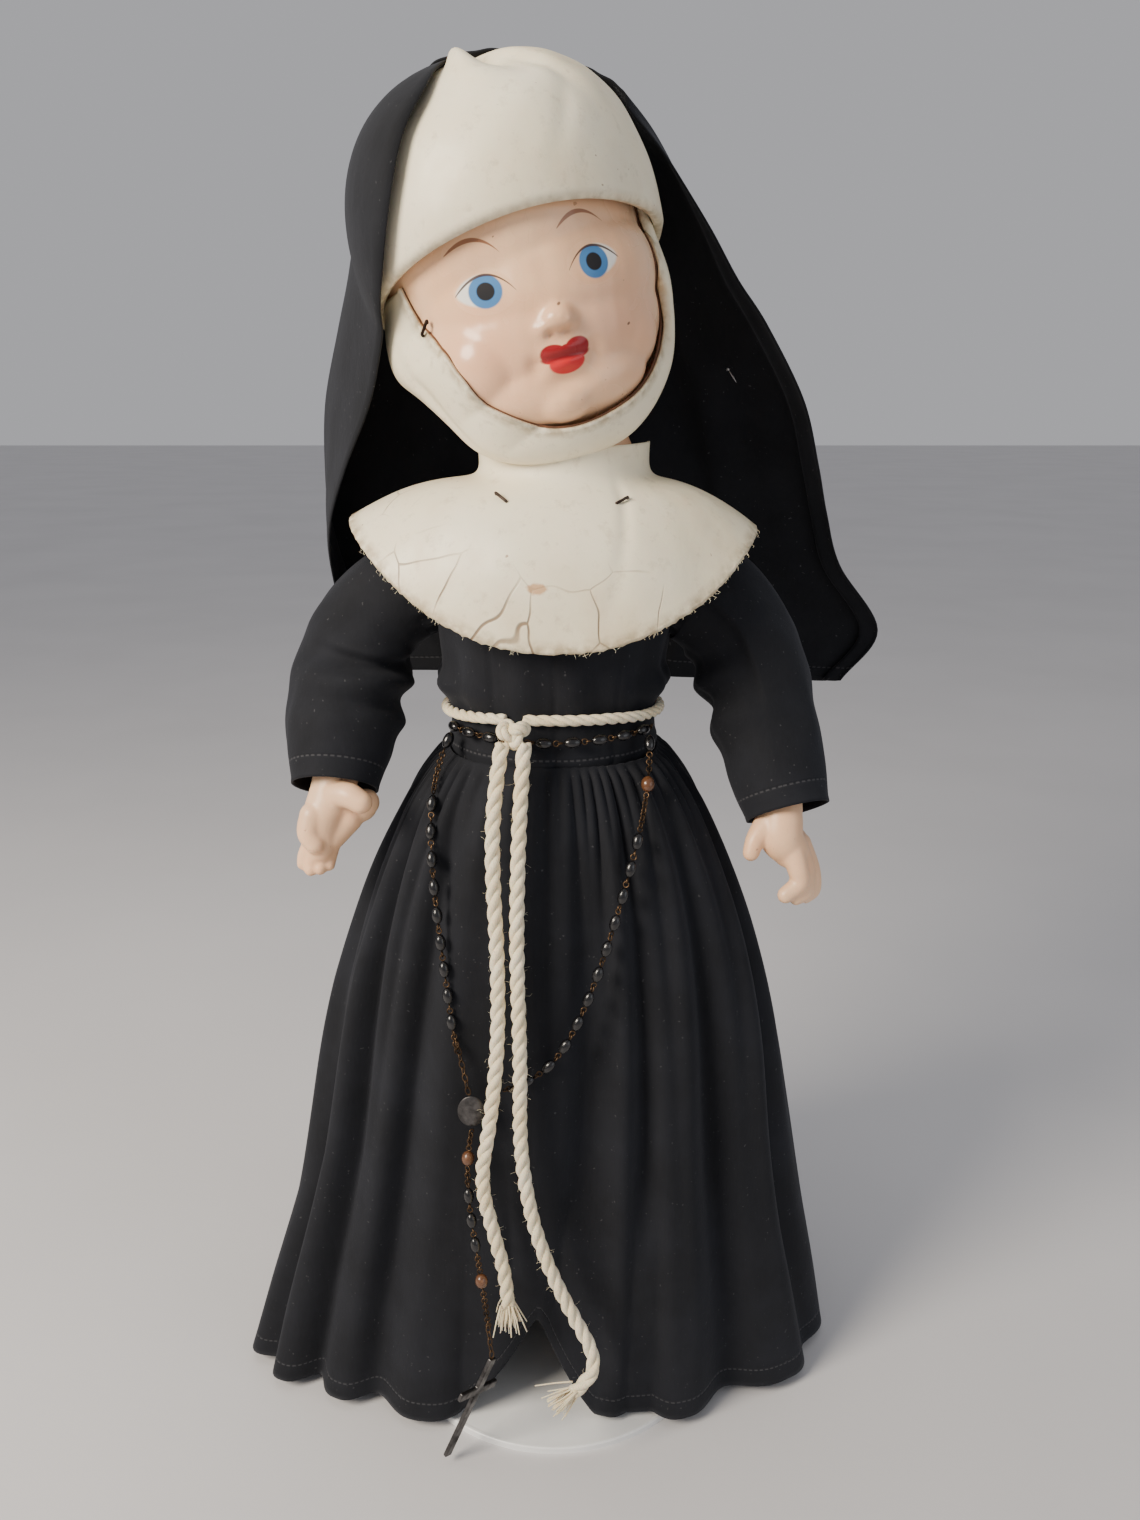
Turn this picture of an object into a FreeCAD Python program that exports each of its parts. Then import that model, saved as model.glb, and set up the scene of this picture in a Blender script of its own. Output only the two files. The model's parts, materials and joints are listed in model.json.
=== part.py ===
"""A composition doll dressed as a nun, on a round display stand.

Units are millimetres. +Z is up, the doll faces -Y, and +X is the doll's left. The origin is the centre of
the stand's underside. Every real piece is a node of its own, written to parts/NODE.step.
"""
import FreeCAD, Part
import os
from math import acos, atan, cos, degrees, pi, radians, sin, sqrt, tan

V = FreeCAD.Vector
UP = V(0, 0, 1)
ALONG_X = V(1, 0, 0)
ALONG_Y = V(0, 1, 0)
BIG = 400.0

# ---- stand
BASE_R = 77.0
BASE_T = 2.6
RIM_T = 3.2
POLE_Y = 37.0
TUBE_R = 5.0
TUBE_BORE_R = 4.1
TUBE_TOP = 175.0
ROD_R = 4.0
ROD_LOW = 70.0
CLIP_Z = 331.0
CLIP_RX = 39.9
CLIP_RY = 30.4
CLIP_WIRE_R = 1.1

# ---- body
SHOULDER = V(68, 2, 388)
ARM_FACE_X = 52.0
HIP_Z = 262.0
HIP_X = 27.0
LEG_FACE_X = 9.8
ELASTIC_R = 1.6
KNOT_R = 3.4
HOLE_R = 2.6
WALL = 4.5

# ---- neck and head: the neck is a ball that turns and leans in the torso's cup
NECK = V(5, 0, 440)
BALL_R = 31.0
CUP_GAP = 0.4
HEAD_TURN = 12.0
HEAD_LEAN = 14.5

# ---- cloth
CLOTH = 1.5
OILCLOTH = 1.3
CORD_R = 3.2
BELT_CORD_R = 2.4
BELT_Z = 341.5

# ---- rosary
BEAD_R = 2.3
BEAD_HALF = 3.7
LINK_R = 1.15
LINK_WIRE_R = 0.28
LINK_EDGE = LINK_R + LINK_WIRE_R + 0.04
LINK_PITCH = 1.6


# ---------------------------------------------------------------- helpers
def save(name, *solids):
    shape = solids[0] if len(solids) == 1 else Part.makeCompound(list(solids))
    for solid in shape.Solids:
        if not solid.isValid() or solid.Volume <= 0:
            print("CHECK", name, solid.isValid(), solid.Volume)
    shape.exportStep("parts/" + name + ".step")
    print(f"{name}: {len(shape.Solids)} solids, {shape.Volume / 1000:.2f} cm3")
    return shape


def fused(solids):
    shape = solids[0].multiFuse(solids[1:]) if len(solids) > 1 else solids[0]
    return shape.removeSplitter()


def box(low, high):
    return Part.makeBox(high[0] - low[0], high[1] - low[1], high[2] - low[2], V(*low))


def cylinder(radius, low, high):
    way = high - low
    return Part.makeCylinder(radius, way.Length, low, way)


def ball(radius, centre):
    return Part.makeSphere(radius, centre)


def ellipsoid(centre, radii):
    scale = FreeCAD.Matrix()
    scale.scale(V(*radii))
    shape = Part.makeSphere(1.0).transformGeometry(scale)
    shape.translate(centre)
    return shape


def capsule(a, ra, b, rb):
    way = b - a
    if abs(ra - rb) < 0.01:
        middle = Part.makeCylinder(ra, way.Length, a, way)
    else:
        middle = Part.makeCone(ra, rb, way.Length, a, way)
    return [middle, ball(ra, a), ball(rb, b)]


def limb(stations):
    """A rounded limb through (point, radius) stations."""
    pieces = []
    for (a, ra), (b, rb) in zip(stations, stations[1:]):
        pieces += capsule(a, ra, b, rb)
    return fused(pieces)


def ring(z, rx, y_front, y_back, cx=0.0, power=2.0, count=28):
    """The points of a level outline: rx to each side, y_front towards -Y and y_back towards +Y."""
    points = []
    for i in range(count):
        t = 2 * pi * i / count
        c, s = cos(t), sin(t)
        x = cx + rx * abs(c) ** (2 / power) * (1 if c >= 0 else -1)
        depth = y_back if s >= 0 else y_front
        y = depth * abs(s) ** (2 / power) * (1 if s >= 0 else -1)
        points.append(V(x, y, z))
    return points


def closed_wire(points):
    curve = Part.BSplineCurve()
    curve.interpolate(Points=points, PeriodicFlag=True)
    return Part.Wire([curve.toShape()])


def open_edge(points):
    curve = Part.BSplineCurve()
    curve.interpolate(Points=points)
    return curve.toShape()


def lofted(rings):
    return Part.makeLoft([closed_wire(r) for r in rings], True, False)


def level_loft(levels, grow=0.0, power=2.0):
    """A loft through levels of (z, rx, y_front, y_back, cx), each grown by that much."""
    return lofted([ring(z, rx + grow, yf + grow, yb + grow, cx, power) for z, rx, yf, yb, cx in levels])


def rounded_path(points):
    """Straight runs joined by arcs as large as the runs allow, as one wire. Prints the smallest radius."""
    edges = []
    start = points[0]
    smallest = BIG
    for before, at, after in zip(points, points[1:], points[2:]):
        into, out = at - before, after - at
        turn = acos(max(-1.0, min(1.0, into.dot(out) / into.Length / out.Length)))
        reach = 0.45 * min(into.Length, out.Length)
        smallest = min(smallest, reach / tan(turn / 2))
        into.normalize()
        out.normalize()
        arc_start, arc_end = at - into * reach, at + out * reach
        middle_way = arc_start + arc_end - at * 2
        middle_way.normalize()
        radius = reach / tan(turn / 2)
        middle = at + middle_way * (sqrt(radius**2 + reach**2) - radius)
        edges.append(Part.LineSegment(start, arc_start).toShape())
        edges.append(Part.Arc(arc_start, middle, arc_end).toShape())
        start = arc_end
    edges.append(Part.LineSegment(start, points[-1]).toShape())
    wire = Part.Wire(edges)
    print(f"  route {wire.Length:.0f} mm, smallest radius {smallest:.1f} mm")
    return wire


def tube_along(wire, radius):
    first = wire.OrderedEdges[0]
    way = first.tangentAt(first.FirstParameter)
    section = Part.Wire([Part.makeCircle(radius, first.valueAt(first.FirstParameter), way)])
    tube = wire.makePipeShell([section], True, True)
    print(f"  tube {tube.Volume:.0f} mm3, section times length {pi * radius**2 * wire.Length:.0f} mm3")
    return tube


# ---------------------------------------------------------------- stand
def stand():
    pole = V(0, POLE_Y, 0)
    disc = Part.makeCylinder(BASE_R, BASE_T)
    rim = Part.makeCylinder(BASE_R, RIM_T).cut(Part.makeCylinder(BASE_R - 1.6, RIM_T))
    seat = Part.makeCone(4.4, 2.3, 2.1, pole)
    disc = disc.fuse(rim).removeSplitter().cut(seat).cut(cylinder(2.3, pole, pole + UP * 5))
    rim_edges = [e for e in disc.Edges if abs(e.Length - 2 * pi * BASE_R) < 0.5 and e.BoundBox.ZMin > 1]
    save("stand_base", disc.makeFillet(0.7, rim_edges))

    head = Part.makeCone(4.1, 2.0, 2.0, pole + UP * 0.3)
    save("base_screw", head.fuse(cylinder(2.0, pole + UP * 2.2, pole + UP * 12)).removeSplitter())
    plug = cylinder(TUBE_BORE_R - 0.05, pole + UP * 2.7, pole + UP * 16)
    save("tube_plug", plug.cut(cylinder(2.0, pole, pole + UP * 12.2)))
    tube = cylinder(TUBE_R, pole + UP * 2.7, pole + UP * TUBE_TOP)
    save("stand_tube", tube.cut(cylinder(TUBE_BORE_R, pole, pole + UP * 200)))
    collar = cylinder(9.0, pole + UP * 2.7, pole + UP * 11)
    collar = collar.cut(cylinder(TUBE_R + 0.05, pole, pole + UP * 20))
    top_edges = [e for e in collar.Edges if e.BoundBox.ZMin > 10 and e.BoundBox.XLength > 15]
    save("tube_collar", collar.makeFillet(1.5, top_edges))
    ferrule = cylinder(TUBE_R + 1.2, pole + UP * (TUBE_TOP - 8), pole + UP * (TUBE_TOP + 3))
    ferrule = ferrule.cut(cylinder(TUBE_R + 0.05, pole, pole + UP * (TUBE_TOP + 0.1)))
    save("tube_ferrule", ferrule.cut(cylinder(ROD_R + 0.1, pole, pole + UP * 200)))

    rod_top = CLIP_Z + 3
    save("stand_rod", cylinder(ROD_R, pole + UP * ROD_LOW, pole + UP * rod_top))
    hub = cylinder(7.0, pole + UP * (CLIP_Z - 5), pole + UP * (CLIP_Z + 6))
    def clip_arc(start, end):
        flat = Part.Ellipse(V(0, 0, CLIP_Z), CLIP_RX, CLIP_RY)
        return Part.Wire([flat.toShape(radians(start), radians(end))])

    reach = 142.0
    wire = tube_along(clip_arc(90 - reach, 90 + reach), CLIP_WIRE_R)
    save("clip_arms", wire)
    save("clip_hub", hub.cut(cylinder(ROD_R, pole, pole + UP * rod_top)).cut(wire))
    grips = [tube_along(clip_arc(90 + s * reach - 22 + s * 20, 90 + s * reach + 22 + s * 20), 1.9) for s in (-1, 1)]
    save("clip_sleeves", *[g.cut(wire) for g in grips])


# ---------------------------------------------------------------- body
# z, half width, front, back, centre x
TORSO_LEVELS = [
    (240, 36, 25, 25, 0),
    (262, 44, 30, 29, 0),
    (300, 42, 31, 29, 0),
    (332, 37.4, 28, 27.4, 0),
    (368, 42, 33, 29, 1),
    (394, 47, 33, 31, 2),
    (412, 45, 34, 33, 3),
    (422, 40, 34.5, 34, 4.5),
    (431, 36, 35, 35, 5),
]


def torso():
    outer = level_loft(TORSO_LEVELS)
    outer = outer.common(box((-48, -60, 200), (48, 60, 500)))
    inner_levels = [level for level in TORSO_LEVELS if 290 < level[0] < 415]
    inner = level_loft(inner_levels, -WALL)
    body = outer.cut(inner)
    body = body.cut(ball(BALL_R + CUP_GAP, NECK))
    body = body.cut(cylinder(9, V(NECK.x, 0, 400), V(NECK.x, 0, 420)))
    for side in (-1, 1):
        outside = V(side * 60, 0, HIP_Z)
        body = body.cut(cylinder(27.5, V(side * (LEG_FACE_X - 0.5), 0, HIP_Z), outside))
        below = box((min(side * 9.3, side * 60), -40, 230), (max(side * 9.3, side * 60), 40, HIP_Z))
        body = body.cut(below)
    body = body.cut(box((-5.2, -14, 247), (5.2, 14, 305)))
    body = body.cut(cylinder(HOLE_R, V(-30, 0, HIP_Z), V(30, 0, HIP_Z)))
    shoulder_axis = V(0, SHOULDER.y, SHOULDER.z)
    body = body.cut(cylinder(HOLE_R, shoulder_axis - ALONG_X * 60, shoulder_axis + ALONG_X * 60))
    save("torso", body)


def arm(side, stations, hand):
    """One arm: a rounded limb that ends in a modelled hand, with a hollow for the elastic's knot."""
    hub = V(side * SHOULDER.x, SHOULDER.y, SHOULDER.z)
    shape = limb([(hub, 15.5)] + stations)
    shape = shape.multiFuse(hand)
    disc = cylinder(15.5, V(side * ARM_FACE_X, hub.y, hub.z), hub)
    shape = shape.fuse(disc).removeSplitter()
    inside = cylinder(BIG, V(side * ARM_FACE_X, 0, hub.z), V(-side * 100, 0, hub.z))
    shape = shape.cut(inside)
    face = V(side * (ARM_FACE_X - 1), hub.y, hub.z)
    shape = shape.cut(cylinder(HOLE_R, face, face + ALONG_X * side * 9))
    pocket = V(side * (ARM_FACE_X + 5), hub.y, hub.z)
    return shape.cut(cylinder(6.0, pocket, pocket + ALONG_X * side * 12))


def hand_pieces(wrist, side, drop, reach, curl):
    """Palm, four part-curled fingers and a thumb. drop is how far the knuckles hang below the wrist."""
    palm = wrist + V(side * 2, -reach * 0.5, -drop * 0.62)
    pieces = [ellipsoid(palm, (12.5, 8.0, 12.5))]
    for i in range(4):
        spread = (i - 1.5) * 5.4
        knuckle = palm + V(side * spread, -2.5, -8.0 + abs(i - 1.2) * 0.8)
        middle = knuckle + V(side * spread * 0.15, -3.5, -7.0)
        tip = middle + V(-side * 1.0, curl, -5.0)
        pieces += capsule(knuckle, 3.6, middle, 3.1)
        pieces += capsule(middle, 3.1, tip, 2.7)
    base = palm + V(-side * 9, -1.5, 3.0)
    bend = base + V(-side * 8.0, -5.0, -2.0)
    tip = bend + V(-side * 1.5, -3.5, -8.0)
    pieces += capsule(base, 4.6, bend, 3.9)
    pieces += capsule(bend, 3.9, tip, 3.3)
    return pieces


def arms():
    right_wrist = V(101, -30, 296)
    stations = [(V(88, 0, 352), 14.0), (V(96, -10, 326), 12.5), (right_wrist, 8.5)]
    save("arm_left", arm(1, stations, hand_pieces(right_wrist, 1, 22, 8, 4.0)))
    left_wrist = V(-95, -34, 308)
    stations = [(V(-88, -2, 354), 14.0), (V(-94, -14, 330), 12.5), (left_wrist, 8.5)]
    save("arm_right", arm(-1, stations, hand_pieces(left_wrist, -1, 22, 10, 4.0)))


# z, y and radius of the leg's rounds from the hip to the ankle
LEG_LEVELS = [
    (270, 0, 17.0),
    (236, 0, 20.5),
    (200, 1, 19.0),
    (170, 1, 17.0),
    (142, 1.5, 14.6),
    (105, 4, 15.5),
    (70, 5.5, 12.2),
    (44, 7, 10.0),
    (18, 8.5, 9.6),
]


def leg(side):
    x = side * 29
    inward = ALONG_X * side
    hub = V(side * HIP_X, 0, HIP_Z)
    face = V(side * LEG_FACE_X, 0, HIP_Z)
    rounds = [Part.Wire([Part.makeCircle(r, V(x, y, z), UP)]) for z, y, r in LEG_LEVELS]
    shape = Part.makeLoft(rounds, True, False)
    shape = shape.fuse(cylinder(24.5, face, hub + inward * 12))
    shape = shape.fuse(ellipsoid(V(x, -2, 16), (11.5, 26, 9.0)))
    shape = shape.cut(box((min(0, face.x), -40, 200), (max(0, face.x), 40, 300)))
    shape = shape.cut(cylinder(HOLE_R, hub - inward * 30, hub - inward * 8))
    return shape.cut(cylinder(6.0, hub - inward * 11, hub + inward * 2))


def shoe(side):
    x = side * 29
    shape = ellipsoid(V(x, -2, 17), (14.5, 29.5, 13.0)).common(box((x - 30, -60, 4.8), (x + 30, 60, 26)))
    foot_room = ellipsoid(V(x, -2, 16), (11.9, 26.4, 9.4))
    return shape.cut(foot_room).cut(cylinder(11.2, V(x, 7.5, 15), V(x, 7.5, 60)))


def legs():
    for side, name in ((1, "left"), (-1, "right")):
        save("leg_" + name, leg(side))
        save("shoe_" + name, shoe(side))


def stringing():
    """The elastic cords and the hook that hold the limbs and the head on."""
    shoulder_axis = V(0, SHOULDER.y, SHOULDER.z)
    end = ALONG_X * (ARM_FACE_X + 10)
    cord = cylinder(ELASTIC_R, shoulder_axis - end, shoulder_axis + end)
    knots = [ball(KNOT_R, shoulder_axis + end * s) for s in (-1, 1)]
    save("arm_elastic", fused([cord] + knots))
    hip_axis = V(0, 0, HIP_Z)
    end = ALONG_X * (HIP_X - 4)
    cord = cylinder(ELASTIC_R, hip_axis - end, hip_axis + end)
    knots = [ball(KNOT_R, hip_axis + end * s) for s in (-1, 1)]
    save("leg_elastic", fused([cord] + knots))

    eye_z = 401.0
    loop = []
    bend_r = 6.0
    for i in range(7):
        t = pi * i / 6
        loop.append(V(NECK.x, 2 + bend_r * cos(t), eye_z - bend_r + bend_r * sin(t)))
    for i in range(7):
        t = pi + pi * i / 6
        loop.append(V(0, 2 + bend_r * cos(t), HIP_Z + 1.5 + bend_r * sin(t)))
    loop.append(loop[0])
    save("neck_elastic", limb([(point, ELASTIC_R) for point in loop]))

    wire_r = 1.3
    eye = Part.makeTorus(5.0, wire_r, V(NECK.x, 0, eye_z), ALONG_Y)
    stem = cylinder(wire_r, V(NECK.x, 0, eye_z + 5), V(NECK.x, 0, NECK.z - 6))
    top = Part.makeTorus(6.0, wire_r, NECK, ALONG_Y)
    hook = fused([eye, stem, top])
    hook.rotate(NECK, UP, HEAD_TURN)
    save("neck_hook", hook)


# ---------------------------------------------------------------- head
def on_neck(shape):
    """Puts a shape modelled upright about the neck ball's centre where the leaning head holds it."""
    placed = shape.copy()
    lean = FreeCAD.Rotation(ALONG_Y, -HEAD_LEAN)
    turn = FreeCAD.Rotation(UP, HEAD_TURN)
    placed.Placement = FreeCAD.Placement(NECK, turn.multiply(lean)).multiply(placed.Placement)
    return placed


SKULL = (V(0, 4, 90), (53.0, 57.0, 53.0))
BAND = (V(0, -10, 57.5), (48.6, 48.0, 45.0))
JAW = (V(0, -10, 57), (45.0, 44.0, 39.0))


def head_form(grow):
    skull = ellipsoid(SKULL[0], [r + grow for r in SKULL[1]])
    jaw = ellipsoid(JAW[0], [r + grow for r in JAW[1]])
    return skull.fuse(jaw)


def head():
    form = head_form(0)
    nose = ellipsoid(V(0, -53, 59), (6.0, 7.5, 6.5))
    chin = ellipsoid(V(0, -42, 30), (14, 13, 10))
    column = cylinder(23, V(0, 0, 10), V(0, 0, 50))
    form = form.multiFuse([nose, chin, column, ball(BALL_R, V(0, 0, 0))]).removeSplitter()
    hollow = head_form(-WALL).multiFuse([cylinder(18.5, V(0, 0, 0), V(0, 0, 50)), ball(BALL_R - WALL, V(0, 0, 0))])
    form = form.cut(hollow).cut(cylinder(17, V(0, 0, -60), V(0, 0, 0)))
    form = form.cut(cylinder(3.1, V(0, -BALL_R + 1.5, 0), V(0, BALL_R - 1.5, 0)))
    save("head", on_neck(form))
    save("neck_dowel", on_neck(cylinder(3.0, V(0, -BALL_R + 1.8, 0), V(0, BALL_R - 1.8, 0))))


# The cap's edge runs down from the forehead to the nape, and the face shows through an oval in the chin band.
BRIM_FRONT = 98.0
BRIM_SLOPE = 0.29
CAP_RADII = (58.0, 62.0, 62.0)
FACE_RX = 42.0
FACE_RZ = 46.0
FACE_Z = 68.0


def below_brim(gap):
    """Everything under the cap's edge."""
    z_at = lambda y: BRIM_FRONT - gap - BRIM_SLOPE * (y + 54)
    corners = [V(-90, -90, -80), V(-90, 90, -80), V(-90, 90, z_at(90)), V(-90, -90, z_at(-90))]
    return Part.Face(Part.makePolygon(corners + corners[:1])).extrude(V(180, 0, 0))


def headwear():
    skull_centre = SKULL[0]
    outer = ellipsoid(skull_centre + V(0, 0, 4), CAP_RADII)
    inner = ellipsoid(skull_centre + V(0, 0, 4), [r - OILCLOTH for r in CAP_RADII])
    cap = outer.cut(inner).cut(below_brim(0))
    save("cap", on_neck(cap))

    band = ellipsoid(BAND[0], BAND[1]).cut(ellipsoid(BAND[0], [r - OILCLOTH for r in BAND[1]]))
    band = band.common(below_brim(0.6)).cut(head_form(0.4))
    band = band.common(box((-90, -90, -40), (90, 14, 140)))
    band = band.cut(ball(BALL_R + 0.6, V(0, 0, 0))).cut(cylinder(23.6, V(0, 0, 0), V(0, 0, 50)))
    face_hole = Part.makeCylinder(1.0, 80, V(0, -90, 0), ALONG_Y)
    shape = FreeCAD.Matrix()
    shape.scale(V(FACE_RX, 1, FACE_RZ))
    face_hole = face_hole.transformGeometry(shape)
    face_hole.translate(V(0, 0, FACE_Z))
    band = band.cut(face_hole).cut(ellipsoid(V(0, -42, 30), (14.4, 13.4, 10.4)))
    save("chin_band", on_neck(max(band.Solids, key=lambda s: s.Volume)))
    staple = fused([cylinder(0.5, V(-47.5, -22, 70), V(-49.5, -17, 63)), ball(0.5, V(-47.5, -22, 70))])
    staple.translate(V(-2.2, -1, 0))
    save("chin_band_staple", on_neck(staple))


# The veil's rows, from the arch over the crown to the hem: left end, right end and the middle of the back.
VEIL_ROWS = [
    (V(-52, 4, 588), V(30, 4, 580), V(-11, 5, 600)),
    (V(-68, 6, 573), V(43, 8, 567), V(-12, 38, 592)),
    (V(-80, 10, 557), V(55, 12, 552), V(-12, 61, 574)),
    (V(-91, 16, 538), V(67, 18, 536), V(-10, 74, 549)),
    (V(-98, 22, 519), V(79, 24, 518), V(-8, 80, 521)),
    (V(-105, 27, 500), V(93, 29, 500), V(-5, 84, 498)),
    (V(-114, 34, 469), V(112, 38, 469), V(-1, 88, 468)),
    (V(-118, 48, 440), V(123, 53, 440), V(2, 93, 438)),
    (V(-120, 70, 415), V(133, 76, 415), V(5, 99, 412)),
    (V(-116, 82, 390), V(143, 86, 389), V(10, 105, 386)),
    (V(-106, 88, 358), V(166, 93, 355), V(22, 110, 354)),
    (V(-88, 94, 334), V(150, 100, 327), V(30, 113, 328)),
]
VEIL_T = 2.0


def veil_row(left, right, back, count=13):
    """A U-shaped level through the veil, as a closed outline in the plane of its three points."""
    middle = (left + right) / 2
    across, depth = (right - left) / 2, back - middle
    depth = depth - across * (depth.dot(across) / across.dot(across))
    outer, inner = [], []
    for i in range(count):
        t = pi * i / (count - 1)
        side, rise = -cos(t), sin(t) ** 0.9
        outer.append(middle + across * side + depth * rise)
        thin_across, thin_depth = 1 - VEIL_T / across.Length, 1 - VEIL_T / depth.Length
        inner.append(middle + across * side * thin_across + depth * rise * thin_depth)
    edges = [open_edge(outer), Part.LineSegment(outer[-1], inner[-1]).toShape()]
    edges += [open_edge(inner[::-1]), Part.LineSegment(inner[0], outer[0]).toShape()]
    return Part.Wire(edges)


def veil():
    save("veil", Part.makeLoft([veil_row(*row) for row in VEIL_ROWS], True, False))
    pin = fused([cylinder(0.45, V(88, 86.5, 486), V(95, 81.0, 493)), ball(1.0, V(95, 81.0, 493))])
    save("veil_pin", pin)


# ---------------------------------------------------------------- dress
BODICE_LEVELS = [
    (322, 44.5, 41, 47, 0),
    (341, 43.8, 38.5, 46.5, 0),
    (356, 46.5, 42, 44.5, 0),
    (375, 49.5, 45, 43, 1),
    (392, 51, 44.5, 41, 2),
    (408, 50, 41.5, 39.5, 3),
    (420, 44, 39, 38.5, 4.5),
    (429, 40.5, 39, 39, 5),
]
SKIRT_LEVELS = [
    (321, 45.5, 42, 48, 0),
    (314, 54, 46.5, 52, 0),
    (298, 66, 51, 57, 0),
    (270, 80, 55, 64, 0),
    (235, 93, 57, 72, 0),
    (190, 106, 59, 82, -1),
    (140, 118, 61, 92, -3),
    (90, 130, 63, 102, -5),
    (45, 141, 65, 110, -7),
    (4.5, 149, 67, 117, -9),
]
SKIRT_POWER = 2.5


def skirt_front(x, z):
    """The y of the skirt's front surface, between the levels it is lofted through."""
    levels = sorted(SKIRT_LEVELS)
    for low, high in zip(levels, levels[1:]):
        if low[0] <= z <= high[0] or high is levels[-1]:
            share = min(1.0, max(0.0, (z - low[0]) / (high[0] - low[0])))
            rx, y_front, _, cx = [a + (b - a) * share for a, b in zip(low[1:], high[1:])]
            return -y_front * (1 - min(1.0, abs((x - cx) / rx)) ** SKIRT_POWER) ** (1 / SKIRT_POWER)


def bodice():
    outer = level_loft(BODICE_LEVELS)
    low = (BODICE_LEVELS[0][0] - 4,) + BODICE_LEVELS[0][1:]
    high = (BODICE_LEVELS[-1][0] + 4, 39.5, 38.5, 38.5, 5)
    inner = level_loft([low] + BODICE_LEVELS[:-1] + [high], -CLOTH)
    shell = outer.cut(inner).common(box((-51, -80, 300), (51, 80, 500)))
    for side in (-1, 1):
        axis = V(side * 40, SHOULDER.y, SHOULDER.z)
        shell = shell.cut(cylinder(15, axis, axis + ALONG_X * side * 30))
    save("bodice", max(shell.Solids, key=lambda s: s.Volume))
    snaps = []
    for z in (404, 384, 364):
        snaps.append(cylinder(3.2, V(2, 48.6, z), V(2, 50.4, z)))
    snaps = [s.translate(V(0, dy, 0)) or s for s, dy in zip(snaps, (-7.2, -5.4, -3.6))]
    save("back_snaps", *snaps)


def skirt():
    outer = level_loft(SKIRT_LEVELS, 0, SKIRT_POWER)
    low = (0,) + SKIRT_LEVELS[-1][1:]
    high = (325, 45.0, 41.5, 47.5, 0)
    inner = level_loft([high] + SKIRT_LEVELS[1:-1] + [low], -CLOTH, SKIRT_POWER)
    shell = outer.cut(inner)
    gap = [V(-40, 0, -5), V(-22, 0, 34), V(-4, 0, 63), V(10, 0, 34), V(24, 0, -5)]
    notch = Part.Face(Part.makePolygon(gap + gap[:1]))
    notch.translate(V(0, -20, 0))
    save("skirt", shell.cut(notch.extrude(V(0, -90, 0))))


def sleeve(side, stations):
    """A full sleeve: closed over the shoulder, open at the cuff, turning about the shoulder's axis."""
    hub = V(side * SHOULDER.x, SHOULDER.y, SHOULDER.z)
    armhole = V(side * ARM_FACE_X, hub.y, hub.z)

    def form(grow):
        pieces = [ball(22.0 + grow, hub), cylinder(21.0 + grow, armhole, hub)]
        previous = (hub, 22.0 + grow)
        for centre, radius in stations:
            pieces += capsule(previous[0], previous[1], centre, radius + grow)
            previous = (centre, radius + grow)
        return fused(pieces)

    shell = form(0).cut(form(-CLOTH))
    bodice_side = box((min(0, side * ARM_FACE_X), -90, 200), (max(0, side * ARM_FACE_X), 90, 500))
    shell = shell.cut(bodice_side)
    cuff, radius = stations[-1]
    way = cuff - stations[-2][0]
    way.normalize()
    shell = shell.cut(cylinder(radius * 2.2, cuff, cuff + way * 60))
    return max(shell.Solids, key=lambda s: s.Volume)


def sleeves():
    stations = [(V(89, -1, 360), 24.0), (V(94, -8, 335), 24.0), (V(101, -24, 301), 19.0)]
    save("sleeve_left", sleeve(1, stations))
    stations = [(V(-88, -2, 362), 24.0), (V(-92, -10, 340), 24.5), (V(-94, -26, 312), 19.5)]
    save("sleeve_right", sleeve(-1, stations))


# ---------------------------------------------------------------- white cape over the shoulders
# The cape's edge at the neck and its outer edge, from the right tip round the front to the left tip.
CAPE_TIPS = (V(-86, 5, 421), V(87, 5, 417))
CAPE_FRONT = V(3, -60, 373)


def cape_point(share, t):
    """A point of the cape's underside: share 0 at the neck to 1 at the edge, t 0 at the right tip to 1."""
    angle = pi + pi * t
    across, front = abs(cos(angle)), abs(sin(angle))
    tip = CAPE_TIPS[0] if t < 0.5 else CAPE_TIPS[1]
    neck = V(NECK.x + 34.5 * cos(angle), 34.5 * sin(angle), 438)
    edge = V(
        CAPE_FRONT.x + (tip.x - CAPE_FRONT.x) * across ** 0.85,
        tip.y + (CAPE_FRONT.y - tip.y) * front ** 0.8,
        CAPE_FRONT.z + (tip.z - CAPE_FRONT.z) * across ** 1.9,
    )
    swell = sin(pi * share) * (4.5 + 4.0 * front)
    at = neck + (edge - neck) * share
    return V(at.x, at.y - swell * front, at.z + swell * 0.9)


def cape():
    surface = Part.BSplineSurface()
    surface.interpolate([[cape_point(i / 6, j / 16) for j in range(17)] for i in range(7)])
    plate = surface.toShape().extrude(V(0, -0.95, 1.1))
    foot, top = V(NECK.x, 0, 433), V(NECK.x, 0, 447)
    band = cylinder(36.0, foot, top).cut(cylinder(34.4, foot - UP, top + UP))
    save("cape", plate.fuse(band))
    staples = []
    for x, z, slant in ((-25, 427, 0.5), (24, 427, -0.35)):
        middle = V(x, -52.5, z)
        half = V(2.4, 0, -2.4 * slant)
        staples.append(cylinder(0.55, middle - half, middle + half))
    save("cape_staples", *staples)


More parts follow.
